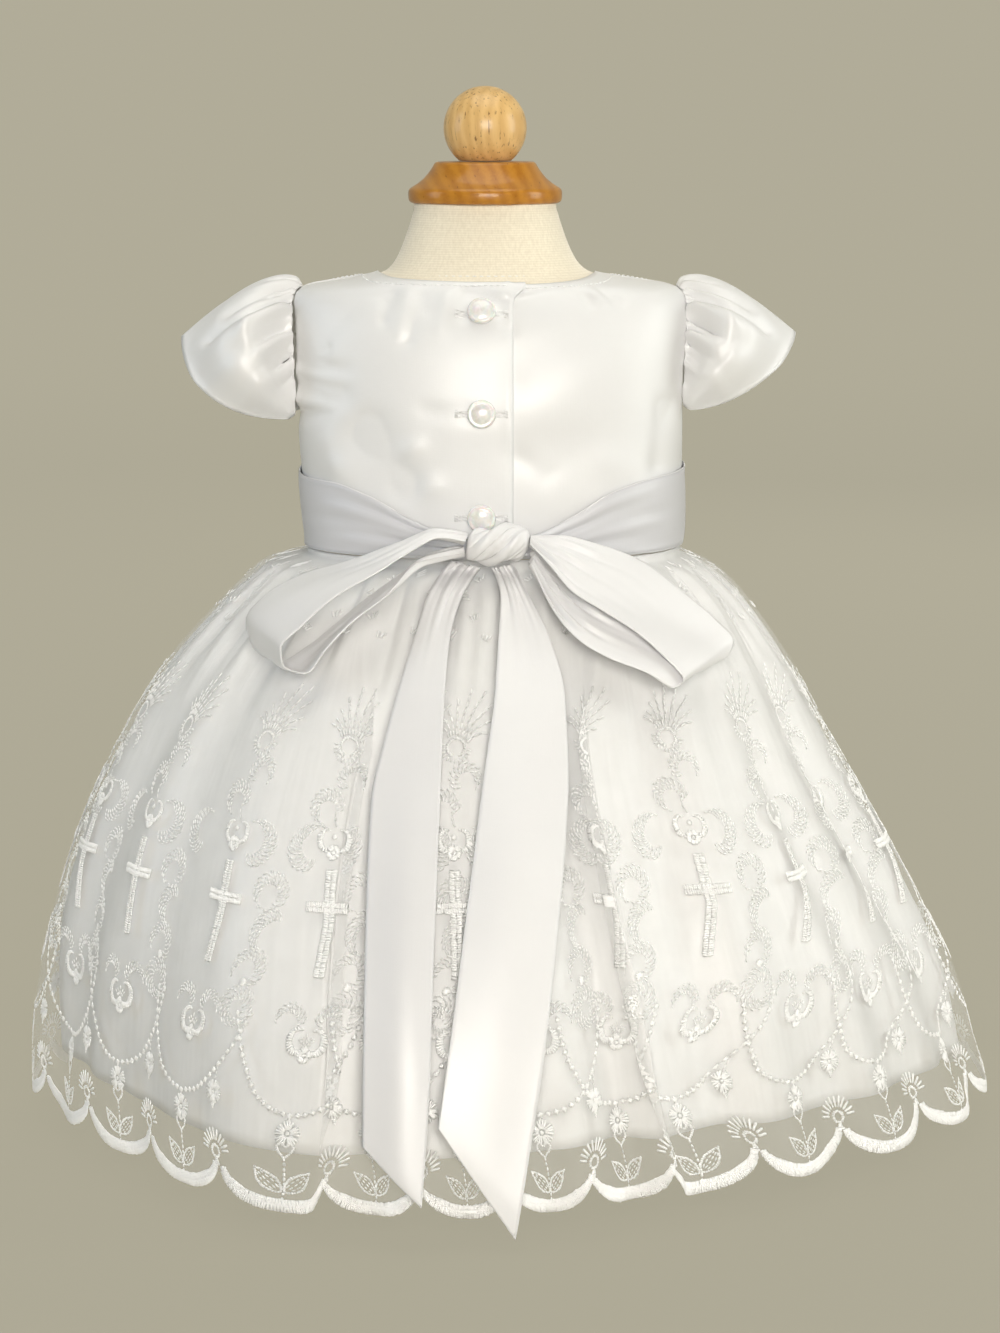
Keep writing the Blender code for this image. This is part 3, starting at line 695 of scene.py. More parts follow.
def wood(name, grain, rotation, light, dark, pores):
    """Varnished open-grained hardwood: broad figure, fine dark pores along the grain, clear coat."""
    look = Look(name, light, 0.36, coat_weight=0.22, coat_roughness=0.08, specular_ior_level=0.35)
    place = look.place(rotation=rotation)
    long_place = look.add("Mapping", {"vector": place, "scale": (1, 1, 0.07)}).outputs[0]
    streaks = look.noise(long_place, 900.0, 4.0, 0.6)
    figure = look.math("MULTIPLY", look.wave(place, grain, "X", 2.6, 1.6), 0.4)
    tone = look.math("ADD", figure, look.math("MULTIPLY", streaks, 0.6))
    cloudy = look.math("MULTIPLY", look.noise(place, 60.0, 4.0), 0.3)
    tone = look.math("ADD", look.math("MULTIPLY", tone, 0.75), cloudy)
    grained = look.mix(tone, dark, light, 0.22, 0.72)
    fleck = look.spread(streaks, 0.0, 1.0, pores, pores + 0.06)
    pore = (dark[0] * 0.45, dark[1] * 0.4, dark[2] * 0.4, 1)
    # In a colour mix node, sockets 6 and 7 are the two colours and output 2 is the result.
    flecked = look.add("Mix", {"factor": fleck, 6: pore, 7: grained}, data_type="RGBA")
    return look.set(
        base_color=flecked.outputs[2],
        roughness=look.spread(streaks, 0.25, 0.42),
        normal=look.relief(streaks, 0.12, 0.25))


def foot_paint():
    look = Look("foot_paint", (0.50, 0.48, 0.41), 0.45)
    worn = look.noise(look.place(), 26.0, 5.0, 0.6)
    return look.set(
        base_color=look.mix(worn, (0.44, 0.42, 0.36), (0.54, 0.52, 0.45)),
        roughness=look.spread(worn, 0.36, 0.55),
        normal=look.relief(look.noise(look.place(), 700.0), 0.1, 0.25))


SATIN_CLOTH = satin("bodice_satin", (0.83, 0.83, 0.835), (0.79, 0.79, 0.80), 0.38, 0.85), "white_satin"
LINING_CLOTH = satin("lining_satin", (0.85, 0.845, 0.84), (0.81, 0.808, 0.81), 0.42, 0.6), "lining_satin"
RIBBON_CLOTH = satin("ribbon_satin", (0.83, 0.825, 0.835), (0.795, 0.79, 0.805), 0.38, 0.85), "ribbon_satin"
# The left tail's satin is the ribbon's satin painted darker: painted shade for the bow's shade that falls
# on it.
PAINTED_SHADE_TAIL_CLOTH = satin("tail_satin_painted_shade", (0.76, 0.755, 0.768), (0.725, 0.72, 0.738), 0.38, 0.85), "ribbon_satin"
# The sash's satin is the ribbon's satin painted darker and bluer: painted shade, and a painted dark
# reflection, for the side of the sash turned from the lamps.
PAINTED_SHADE_SASH_CLOTH = satin("sash_satin_painted_shade", (0.67, 0.67, 0.70), (0.63, 0.63, 0.665), 0.38, 0.9), "ribbon_satin"
ORGANZA_CLOTH = organza(), "white_organza"
THREAD = thread("embroidery_thread", (0.97, 0.97, 0.98), 0.34, (0.3, 0.6, 0.4), 0.9, (0.97, 0.97, 0.975),
                (0.995, 0.995, 0.995), 0.4, (0.28, 0.42), specular_ior_level=1.0,
                sheen_weight=0.8), "white_organza"
SEWING = thread("sewing_thread", (0.90, 0.90, 0.90), 0.5, (0.2, 0.5, 0.3), 0.8, (0.80, 0.80, 0.81),
                (0.93, 0.93, 0.93), 0.5, sheen_weight=0.2), "white_satin"
PEARL = pearl(), "pearl_plastic"
JERSEY = jersey(), "cream_jersey"
BALL_WOOD = wood("ball_wood", 4.5, (0.0, 0.06, 0.4), (0.78, 0.515, 0.215), (0.64, 0.385, 0.14),
                 0.34), "varnished_wood"
CAP_WOOD = wood("cap_wood", 5.7, (1.35, 0.2, 0.3), (0.52, 0.225, 0.026), (0.37, 0.135, 0.012),
                0.27), "varnished_wood"

# ---------------------------------------------------------------- bodice

# Soft creases: both ends as x and z on the panel, half width, and depth, which is negative for a ridge.
BACK_CREASES = table("x0 z0 x1 z1 width depth", """
-38 371 -43 355 3 0.7
-31 371 -35 350 3 -0.4
-24 371 -33 347 3.4 0.6
-14 370 -19 352 2.8 -0.6
-8 369.5 -10 356 2.4 0.8
-9.5 367.5 6.5 360.5 2.2 1.5
6.5 360.5 9 352 2.6 1
-4 370 8 364.5 1.8 -0.9
10.5 366 23 370 2.2 0.9
14 363 34 370 2.6 -0.6
38 371 43 363 2.4 1.2
44 371.5 56 363 2.6 1.1
41 371 50 362 1.8 -0.7
-48 368.5 -78 350 9 1.3
-84 338 -60 334 4 0.8
-84 327 -62 326 4 0.8
-84 313 -60 322 5 0.9
-50 308 -33 288 9 1.4
-30 300 -24 286 6 -0.9
-66 300 -58 288 6 -0.9
-26 318 -9 317 4.5 0.3
-24 359 -9 358 4.5 0.4
-84 346 -68 343 2.6 0.9
-84 320 -66 318 2.4 -0.6
18 322 70 352 12 -0.4
30 300 76 322 12 0.5
76 318 72 292 4 0.8
50 296 68 288 6 -0.3
14 340 60 362 11 0.4
11.5 300 24 292 5 0.4
""")
FRONT_CREASES = table("x0 z0 x1 z1 width depth", """
-40 366 -52 345 4 1.1
-28 357 -36 338 4 -0.7
38 366 50 348 4 1.1
24 356 30 336 4 -0.6
-74 318 -40 328 6 0.9
76 320 38 330 6 0.9
-60 300 -24 286 8 1.2
62 302 30 288 8 1.1
-10 330 14 300 10 -0.8
-4 300 2 286 6 0.8
""")


def creased(x, z, creases):
    """How far the creases move the cloth outwards at x, z."""
    out = np.zeros(np.shape(x))
    for x0, z0, x1, z1, width, depth in zip(*creases.values()):
        span = np.array([x1 - x0, z1 - z0])
        length = np.linalg.norm(span)
        t = ((x - x0) * span[0] + (z - z0) * span[1]) / length**2
        aside = ((x - x0) * span[1] - (z - z0) * span[0]) / length
        bend = 0.10 * length * (t - t * t)
        fade = bump(np.maximum(-t, 0) * length, width) * bump(np.maximum(t - 1, 0) * length, width)
        swell = 0.75 + 0.25 * np.cos(5 * t + x0)
        out -= 2.3 * depth * swell * bump(aside - bend, width) * fade
    return out


def cloth_out(angle, height, creases, lift=None):
    """How far the bodice cloth's inner face lies off the body. The creases fade at its bound edges."""
    x, _, z = np.moveaxis(body_surface(angle, height), -1, 0)
    fade = ramp(height, WAIST + 2, WAIST + 30) * ramp(neckline(angle) - height, 0.5, 6.0)
    out = 0.25 + np.maximum(creased(x, z, creases) * fade, -1.5)
    return out + lift(x, height) if lift else out


PANEL_LEVELS = np.concatenate([
    np.linspace(WAIST + SEAM_GAP, UNDERARM, 16, endpoint=False),
    np.linspace(UNDERARM, SHOULDER, 50, endpoint=False),
    np.linspace(SHOULDER, NECK_SIDE, 12),
])


def bodice_panel(node, creases, count, *edges, lift=None):
    """One bodice panel between two edges, which are functions of height that give an angle."""
    first, last = (np.array([float(edge(h)) for h in PANEL_LEVELS])[:, None] for edge in edges)
    angles = first + (last - first) * np.linspace(0, 1, count)
    rise = ((PANEL_LEVELS - PANEL_LEVELS[0]) / (NECK_SIDE - PANEL_LEVELS[0]))[:, None]
    heights = PANEL_LEVELS[0] + rise * (neckline(angles) - PANEL_LEVELS[0])
    grid = body_point(angles, heights, cloth_out(angles, heights, creases, lift))
    return cloth(node + "_satin", grid, SATIN_CLOTH, CLOTH, node)


def placket_lift(x, height):
    """The left panel rises over the right one's edge, and rolls where it is folded under."""
    rise = (SATIN + 1.5 * SEAM_GAP) * ramp(x, PLACKET_UNDER - 52.0, PLACKET_UNDER - 2.0)
    roll = -0.5 * ramp(x, PLACKET_EDGE - 1.2, PLACKET_EDGE) + 0.35 * bump(x - PLACKET_EDGE + 2.2, 1.2)
    pull = sum(0.45 * bump(height - h, 5.0) * bump(x - BUTTON_X, 8.0) for h in BUTTON_HEIGHTS.values())
    return rise + roll - pull


bodice_front = bodice_panel("bodice_front", FRONT_CREASES, 110, lambda h: armhole(h, ARMHOLE_FRONT),
                            lambda h: 180 - armhole(h, ARMHOLE_FRONT))
bodice_left = bodice_panel("bodice_back_left", BACK_CREASES, 90, lambda h: -180 + armhole(h, ARMHOLE_BACK),
                           lambda h: back_angle(PLACKET_EDGE, h), lift=placket_lift)
bodice_right = bodice_panel("bodice_back_right", BACK_CREASES, 80, lambda h: back_angle(PLACKET_UNDER, h),
                            lambda h: -armhole(h, ARMHOLE_BACK))

# ---------------------------------------------------------------- sleeves

# Sleeve creases: place round the sleeve at the seam and at the hem, width, first and last share of
# the way to the hem, and depth, which is negative for a ridge.
SLEEVE_CREASES = table("seam hem width start end depth", """
-0.32 -0.2 0.05 0.05 0.78 1.7
-0.43 -0.36 0.055 0.05 0.48 -1.5
-0.54 -0.5 0.05 0.05 0.36 1.8
-0.64 -0.6 0.05 0.05 0.42 -1.3
-0.74 -0.72 0.045 0.05 0.32 1.4
-0.6 -0.34 0.1 0.45 1 1.2
-0.84 -0.72 0.06 0.35 0.95 -0.9
-0.2 -0.14 0.045 0.05 0.6 1.3
0.1 0.06 0.045 0.05 0.65 1.2
0.26 0.16 0.04 0.05 0.75 -1
0.4 0.24 0.045 0.05 0.8 1.4
0.58 0.42 0.045 0.1 0.7 1.2
0.78 0.6 0.05 0.3 1 1.2
""")


def sleeve_surface(side, reach, tip_height, end_height, hem_power, columns=161, levels=38):
    """A cap sleeve's grid, from its gathered seam to its free hem."""
    around = np.linspace(-1, 1, columns)
    over = np.cos(around * pi / 2)
    seam_height = end_height + (SHOULDER - end_height) * over**0.75
    cut = np.where(around < 0, -armhole(seam_height, ARMHOLE_BACK), armhole(seam_height, ARMHOLE_FRONT))
    cut = (cut + np.sign(cut) * 1.1) * np.minimum(1, np.abs(around) * 20)
    seam = body_point(cut, seam_height, 0.45 + CLOTH)
    rim = np.sin(np.abs(around) * pi / 2)
    hem = points(88.0 + (reach - 88.0) * over ** (hem_power * 0.95),
                 seam[:, 1] * np.abs(around) + np.sign(around) * 15.0 * np.sin(np.abs(around) * pi),
                 tip_height - (tip_height - end_height + 2.0) * rim ** (hem_power * 1.05))
    outward = points(0 * around, np.sign(around) * rim, over)
    turn = around * pi
    rows = []
    for share in np.linspace(0, 1, levels) ** 1.25:
        puff = sin(pi * share)
        crown = sin(pi * share**0.82)
        bulge = np.sign(around) * 17.0 * puff**1.4 * np.sin(np.abs(turn)) ** 0.8
        swell = points(8.0 * rim * over * puff, bulge, 8.5 * over**1.5 * crown)
        ripple = SLEEVE_GATHER_DEPTH * sin(pi * min(1, share / 0.62) ** 0.6)
        ripple = ripple * np.cos(turn * SLEEVE_GATHERS) * over**0.5
        close = 1.7 * exp(-((share / 0.24) ** 2)) * min(1, share / 0.03) * over**0.4
        ripple = ripple + close * (np.cos(turn * 19 + 1.5 * np.sin(3 * turn) + side)
                                   + 0.6 * np.cos(turn * 31 + 2 * np.sin(5 * turn)))
        for middle, aim, width, start, end, depth in zip(*SLEEVE_CREASES.values()):
            reach_in = ramp(share, start - 0.08, start + 0.05) * (1 - ramp(share, end - 0.10, end + 0.08))
            line = middle + (aim - middle) * share
            ripple = ripple - 2.6 * depth * reach_in * bump(around - line, width)
        rows.append(seam + (hem - seam) * share + swell + outward * ripple[:, None])
    grid = np.array(rows)
    grid[..., 0] = 1.0 + side * (grid[..., 0] - 1.0)
    return grid[:, ::-1] if side > 0 else grid


sleeve_left, sleeve_right = (cloth(node + "_satin", sleeve_surface(*row), SATIN_CLOTH, CLOTH, node)
                             for node, row in zip(("sleeve_left", "sleeve_right"), zip(*SLEEVES.values())))

# ---------------------------------------------------------------- skirt

HEM_STEPS = 25  # mesh columns to each pattern repeat
LINING_STEPS = 15
OVERLAY_LEVELS = np.concatenate([np.linspace(0, 0.93, 43)[:-1], np.linspace(0.93, 1, 12)])

# Soft troughs that only the lining has.
LINING_FOLDS = table("top hem width depth", """
-150 -152 6 4
-118 -117 5 4
-84 -88 4.5 3
-48 -60 4 3
9 10 2.6 3.5
32 31 3.6 5
43 52 3.6 4
56 70 4 3.5
86 89 4.5 3
119 118 5 4
150 151 6 4
""")


def overlay_rows():
    repeats = np.arange(REPEATS * HEM_STEPS) / HEM_STEPS
    edge = HEM + scallop(repeats)
    bearings = repeat_bearing(repeats)
    return np.array([skirt_point(bearings, edge + (WAIST - edge) * level) for level in OVERLAY_LEVELS])


def lining_inset(bearings, fall):
    """How far the lining lies inside the overlay's own surface."""
    troughs = sum(depth * bump(beside(bearings, fall, top, hem), width)
                  for top, hem, width, depth in zip(*LINING_FOLDS.values()))
    inset = 2.4 + 3.8 * ramp(fall, 0.62, 0.97)
    inset = inset + ramp(fall, 0.1, 0.4) * troughs * (0.55 + 0.45 * ramp(fall, 0.5, 0.9))
    inset = inset + 5.0 * bump(turned(bearings + 88), 26) * ramp(fall, 0.62, 0.95)
    gathers = 2.0 * (1 - ramp(fall, 0.03, 0.12))
    lapped_fold = 4.5 * bump(turned(bearings - 16), 11) * ramp(fall, 0.08, 0.2)
    return inset + gathers + lapped_fold


def lining_rows():
    bearings = repeat_bearing(np.arange(REPEATS * LINING_STEPS) / LINING_STEPS)
    rows = []
    for height in np.concatenate([np.linspace(LINING_HEM, 244, 42), np.linspace(246.5, WAIST, 6)]):
        if height > WAIST - 5.0:
            row = skirt_point(bearings, WAIST, SATIN + SEAM_GAP)
            row[:, 2] = height
        else:
            fall = (WAIST - height) / (WAIST - HEM)
            row = skirt_point(bearings, height, lining_inset(bearings, fall), lap=0.6)
        rows.append(row)
    return np.array(rows)


overlay = cloth("skirt_overlay_organza", overlay_rows(), ORGANZA_CLOTH, SHEER, "skirt_overlay", closed=True)
lining = cloth("skirt_lining_satin", lining_rows(), LINING_CLOTH, CLOTH, "skirt_lining", closed=True)

# ---------------------------------------------------------------- embroidery

# The pattern is drawn flat, one repeat wide: a is millimetres along the hem from a scallop's middle,
# h millimetres up the cloth from its lowest point. Lengths are then laid off on the skirt itself.
PITCH = 48.0  # width of a repeat on the flat cloth
CROSS_LEVEL = 112.0  # height of the crosses on the flat cloth
# Degrees by which the folds draw the pattern aside from the hem to the crosses' height.
DRIFT = table("bearing shift", """
-180 0
-100 0
-71.5 -5
-55.3 -0.7
-39.9 5.3
-26.1 1.6
-14.5 4.2
-4.6 1.6
4.6 1.6
14.5 5
26.1 8
39.9 12
55.3 13
71.5 9
100 3
135 0
180 0
""")
MAP_HEIGHTS = np.linspace(HEM, WAIST - 2.0, 60)
MAP_BEARINGS = np.linspace(-205.0, 205.0, 1641)
MAP_LENGTHS = [travelled(skirt_point(MAP_BEARINGS, height)) for height in MAP_HEIGHTS]
MAP_RISE = travelled([skirt_point([-50.0, 50.0], height, folded=0.0).mean(0) * [0, 1, 1]
                      for height in MAP_HEIGHTS])


def on_skirt(repeat, a, h, lift):
    """Points on the overlay's outer side: repeat, and the pattern's own a, h, all arrays."""
    height = np.interp(h, MAP_RISE, MAP_HEIGHTS)
    middle = turned(repeat_bearing(repeat))
    middle = middle + read(DRIFT, middle)[0] * np.clip((h - 45) / (CROSS_LEVEL - 45), 0, 1)
    step = MAP_HEIGHTS[1] - MAP_HEIGHTS[0]
    place = np.clip((height - MAP_HEIGHTS[0]) / step, 0, len(MAP_HEIGHTS) - 1.001)
    low = place.astype(int)
    share = place - low
    bearing = np.zeros(len(a))
    for row, lengths in enumerate(MAP_LENGTHS):
        for chosen, weight in ((low == row, 1 - share), (low == row - 1, share)):
            if chosen.any():
                start = np.interp(middle[chosen], MAP_BEARINGS, lengths)
                bearing[chosen] += weight[chosen] * np.interp(start + a[chosen], lengths, MAP_BEARINGS)
    edge_bearing = turned(repeat_bearing(repeat + a / PITCH))
    bearing = bearing + turned(edge_bearing - bearing) * (1 - ramp(h, 5.0, 36.0))
    here = skirt_point(bearing, height)
    aside = skirt_point(bearing + 0.15, height) - here
    above = skirt_point(bearing, height + 0.5) - here
    return here + unit(np.cross(aside, above)) * (SHEER + lift)[:, None]


def aimed(turn):
    """The flat direction at an angle in radians."""
    return np.array([cos(turn), sin(turn)])


def across(forward):
    return np.array([-forward[1], forward[0]])


def walk(path):
    """The length of a path, and a function that gives the point at a distance along it."""
    path = np.asarray(path, float)
    travel = travelled(path)
    return travel[-1], lambda place: np.array([np.interp(place, travel, path[:, k]) for k in (0, 1)])


def ring_path(centre, radius, start, end):
    turns = np.radians(np.linspace(start, end, max(8, int(abs(end - start) / 9))))
    return [centre + radius * aimed(turn) for turn in turns]


def curve_through(*stops, count=40):
    """A smooth path through a few stops."""
    stops = np.array(stops, float)
    padded = np.vstack([2 * stops[0] - stops[1], stops, 2 * stops[-1] - stops[-2]])
    path = []
    for place in np.linspace(0, len(stops) - 1, count):
        i = min(int(place), len(stops) - 2)
        t = place - i
        p0, p1, p2, p3 = padded[i:i + 4]
        path.append(0.5 * (2 * p1 + (p2 - p0) * t + (2 * p0 - 5 * p1 + 4 * p2 - p3) * t * t
                           + (3 * p1 - p0 - 3 * p2 + p3) * t**3))
    return np.array(path)


class Pattern:
    """Stitches of one repeat: ends, width and rise of each, in millimetres on the flat cloth."""

    def __init__(self):
        self.rows = []

    def stitch(self, start, end, width=0.75, rise=0.3):
        self.rows.append((*start, *end, width, rise))

    def run(self, path, length=1.8, gap=0.5, width=0.7, rise=0.28):
        """Running stitches along a path of points."""
        travel, at = walk(path)
        count = max(1, round(travel / (length + gap)))
        step = travel / count
        for i in range(count):
            self.stitch(at(i * step), at((i + length / (length + gap)) * step), width, rise)

    def column(self, path, widths, pitch=0.95, slant=0.0, thread=0.95, rise=0.4):
        """Satin stitch: threads laid side by side across a path."""
        travel, at = walk(path)
        for place in np.arange(pitch / 2, travel, pitch):
            forward = at(place + 0.4) - at(place - 0.4)
            forward = forward / max(np.linalg.norm(forward), 1e-6)
            half = np.interp(place / travel, np.linspace(0, 1, len(widths)), widths) / 2
            reach = (across(forward) + slant * forward) * half
            self.stitch(at(place) - reach, at(place) + reach, thread * 1.3, rise)

    def rays(self, centre, inner, outer, start, end, count, width=0.8, rise=0.35):
        """Straight stitches that fan out from a centre, over an arc in degrees."""
        for turn in np.radians(np.linspace(start, end, count)):
            self.stitch(centre + aimed(turn) * inner, centre + aimed(turn) * outer, width, rise)

    def comb(self, centre, inner, outer, start, end, ribs, lean=0.5):
        """A feathery scroll: thin ribs that start along its outer arc and sweep inward."""
        for place in np.linspace(0, 1, ribs):
            turn = radians(start + (end - start) * place)
            reach = (outer - inner) * (0.6 + 0.4 * sin(pi * place))
            self.run([np.add(centre, (outer - reach * t**1.7) * aimed(turn - lean * t))
                      for t in np.linspace(0, 1, 7)], 2.0, 0.1, 0.66, 0.42)

    def star(self, centre, radius, points=4, rise=0.6):
        """A knot of stitches crossed over one another."""
        for turn in np.arange(points) * pi / points + 0.4:
            aim = radius * aimed(turn)
            self.stitch(np.subtract(centre, aim), np.add(centre, aim), 1.3, rise)

    def blossom(self, centre, petals, inner, outer, turn=90.0, rise=0.5):
        """A small flower: petals of satin stitch round a raised middle."""
        for petal in range(petals):
            middle = turn + 360 * petal / petals
            self.rays(centre, inner, outer, middle - 23, middle + 23, 4, 1.05, rise)
        self.star(centre, 0.9, 3, rise + 0.2)

    def lobe(self, centre, side, aside, up, turns, widths, rise):
        """Half a heart in satin stitch. aside and up give the offset and radius each way."""
        path = [centre + [side * (aside[0] + aside[1] * cos(t)), up[0] + up[1] * sin(t)]
                for t in np.radians(turns)]
        self.column(path, widths, slant=0.1 * side, rise=rise)

    def leaf(self, root, tip, width):
        """A leaf outlined in satin stitch, with ribs that run to its tip."""
        root, forward = np.array(root), np.subtract(tip, root)
        aside = across(forward) / np.linalg.norm(forward)
        places = np.linspace(0, 1, 15)

        def line(share, places):
            return [root + forward * p + aside * share * width / 2 * sin(pi * p**0.8) for p in places]

        for share in (-1.0, 1.0):
            self.column(line(share, places), (0.7, 1.2, 0.8), 0.85, 0.4 * share, 0.8, 0.35)
        for share in (-0.5, 0.0, 0.5):
            self.run(line(share, places[2:-2]), 1.6, 0.4, 0.5, 0.22)

    def chain(self, path, spacing=3.3):
        """Star knots on a thin line."""
        travel, at = walk(path)
        self.run(path, 1.6, 0.4, 0.5, 0.2)
        for place in np.arange(0.0, travel, spacing):
            self.star(at(place), 1.25, 2, 0.6)


def border(sew):
    """The scalloped edge in two rows of satin stitch, and its fans, rings, leaves and hearts."""
    places = np.linspace(-PITCH / 2, PITCH / 2, 241)
    travel, at = walk(np.stack([places, scallop(places / PITCH)], axis=1))
    for place in np.arange(0.5, travel, 0.92):
        forward = at(place + 0.8) - at(place - 0.8)
        forward = forward / np.linalg.norm(forward)
        inward = across(forward)
        width = 3.0 + 2.4 * min(1.0, min(place, travel - place) / 12.0)
        here = at(place)
        sew.stitch(here - inward * 0.4, here + inward * width * 0.66, 1.2, 0.5)
        sew.stitch(here + inward * width * 0.36 + forward * 0.45, here + inward * width + forward * 0.3,
                   1.15, 0.45)
    sew.run(curve_through((0, 4.4), (0.4, 12), (0, 22.0), count=16), 1.8, 0.25, 0.85, 0.4)
    for side in (1, -1):
        sew.leaf((side * 0.5, 8.0), (side * 8.6, 16.6), 5.2)
    for side in (-1, 1):
        sew.column(curve_through((0, 21.5), (side * 2.9, 25.0), (side * 1.9, 27.6), (0, 25.6), count=14),
                   (0.9, 1.3, 0.9), 0.85, 0, 0.8)
    cusp = np.array([PITCH / 2, SCALLOP_DEPTH * 0.83])
    sew.column([cusp + [0, 0.3], cusp + [0, 3.0]], (3.4, 1.8), 0.8, 0, 0.9, 0.6)
    ring = cusp + [0, 5.6]
    sew.column(ring_path(ring, 2.3, -90, 270), (1.5, 1.5), 0.9, 0, 0.8, 0.5)
    for turn in np.linspace(8, 172, 11):
        sew.rays(ring, 4.0, 8.0 + 1.2 * sin(radians(turn)), turn, turn, 1, 1.05, 0.5)


def swags(sew):
    """The crossing chains and what hangs from them, with the heart-shaped flowers above."""
    for side in (-1, 1):
        sew.chain(curve_through((0, 38.0), (side * 9, 40.0), (side * 17, 45.0), (side * 24, 53.5),
                                (side * 29.5, 63.5), (side * 33, 75)))
    sew.run([(0, 37.5), (0, 35.0)], 2.0, 0.3, 0.8)
    sew.blossom((0.0, 31.2), 5, 1.2, 5.3)
    crossing = np.array([PITCH / 2, 53.0])
    sew.run([crossing - [0, 0.5], crossing - [0, 6.0]], 1.8, 0.3, 0.8)
    bell = crossing - [0, 10.8]
    sew.blossom(bell, 5, 0.9, 4.9, 54.0)
    sew.column([bell + [0, -4.4], bell + [0, -6.6]], (2.6, 0.9), 0.8, 0, 0.8, 0.5)
    heart = np.array([0.0, 66.5])
    root = heart + [0, -2.6]
    for side in (-1, 1):
        sew.lobe(heart, side, (3.9, 3.6), (0.6, 4.6), np.arange(118, -111, -8),
                 (0.9, 2.2, 3.2, 3.4, 2.4), 0.5)
        for lean in (22, 40):
            sew.run([root, root + aimed(radians(90 - side * lean)) * 5.6], 1.9, 0.3, 0.62, 0.4)
        sew.comb(heart + [side * 8.6, 8.6], 1.8, 6.6, 90 - side * 112, 90 + side * 78, 9, -0.8 * side)
    sew.run([root, heart + [0, 4.0]], 1.9, 0.3, 0.62, 0.4)
    sew.blossom(heart - [0, 4.8], 5, 0.8, 3.3)


def scrolls(sew):
    """The scrolls that climb above each cusp, from the wheel of feathery ribs at their foot."""
    middle = PITCH / 2
    wheel, spokes = 8.6, 15
    sew.comb((middle, 77.5), wheel * 0.22, wheel, 0, 360 - 360 / spokes, spokes, 1.0)
    sew.comb((middle, 92.5), 2.6, 8.2, -40, 215, 13, 0.8)
    sew.star((middle, 87.0), 1.9)
    sew.comb((middle + 3.0, 107.5), 2.4, 8.8, 92, 268, 11, 0.8)
    sew.comb((middle - 0.4, 122.5), 2.4, 8.2, -25, 238, 13, 0.8)
    sew.run(curve_through((middle - 5.0, 116.6), (middle + 0.5, 114.8), (middle + 4.6, 116.0), count=10))
    sew.comb((middle - 12.0, 140.5), 2.8, 9.4, -85, 120, 13, 0.8)
    sew.comb((middle + 12.0, 140.5), 2.8, 9.4, 265, 60, 13, -0.8)


def crosses(sew):
    """The cross over each scallop: every bar in two rows of satin stitch side by side."""
    for side in (-1, 1):
        x, h = side * 1.15, 118.0 + side * 1.05
        sew.column([(x, 91.5), (x, 132.5)], (2.6, 2.6), slant=-0.12 * side, rise=0.5)
        sew.column([(-9.8, h), (9.8, h)], (2.4, 2.4), slant=0.12 * side, rise=0.75)


def crowns(sew):
    """What stands above the cross: a pendant flower, two scrolls, ring and plume, and sprigs."""
    pendant = np.array([0.0, 143.5])
    for side in (-1, 1):
        sew.lobe(pendant, side, (3.2, 2.9), (0.4, 4.0), np.arange(112, -111, -9),
                 (0.9, 1.9, 2.6, 2.6, 1.8), 0.45)
    sew.blossom(pendant - [0, 4.4], 5, 0.8, 3.2, 54.0)
    sew.star(pendant + [0, 1.6], 1.2, 3)
    sew.comb((-4.6, 157.0), 1.8, 7.4, 10, 262, 12, 0.8)
    sew.comb((4.2, 168.5), 1.8, 6.6, 205, -48, 11, -0.8)
    sew.run(curve_through((0.6, 149), (-0.8, 153), (1.6, 160), count=10), 2.0, 0.3)
    ring = np.array([0.0, 180.5])
    sew.column(ring_path(ring, 3.6, -70, 250), (1.2, 1.6), 0.95, 0, 0.9, 0.45)
    sew.rays(ring, 4.6, 6.6, 170, 350, 12, 0.7, 0.25)
    for angle in np.linspace(24, 132, 9):
        aim = aimed(radians(angle))
        reach = 12.0 + 14.0 * bump(angle - 68, 32)
        middle = aim * (4.8 + reach) / 2 + across(aim) * 1.8 * aim[0]
        plume = curve_through(ring + aim * 4.8, ring + middle, ring + aim * reach, count=12)
        sew.run(plume, 2.8, 0.2, 0.85, 0.45)
    for x, y, lean in rows_of(3, "-7 226 60  4 232 110  9 224 70  -2 242 20  6 250 140  -9 252 50"):
        spot, aim = np.array([x, y]), aimed(radians(lean))
        for k in (-1, 0, 1):
            aside = across(aim) * k
            sew.stitch(spot + aside * 0.9, spot + aim * 2.8 + aside * 1.9, 0.8, 0.3)


# A stitch is a low ridge of eight corners. These are its faces: six sides that shade smoothly, and
# three below.
STITCH_FACES = ((0, 3, 2), (0, 2, 1), (3, 6, 5, 2), (2, 5, 4, 1), (6, 7, 5), (5, 7, 4),
                (0, 1, 3), (1, 4, 6, 3), (7, 6, 4))
STITCH_SMOOTH = [True] * 6 + [False] * 3
NEEDLE_SPREAD = 0.09  # how far the needle strays
THREAD_LOW = 0.10  # height of a stitch's ridge over the cloth, and what its rise adds
THREAD_RISE = 0.45
THREAD_SINK = 0.02  # its edges lie this deep in the cloth


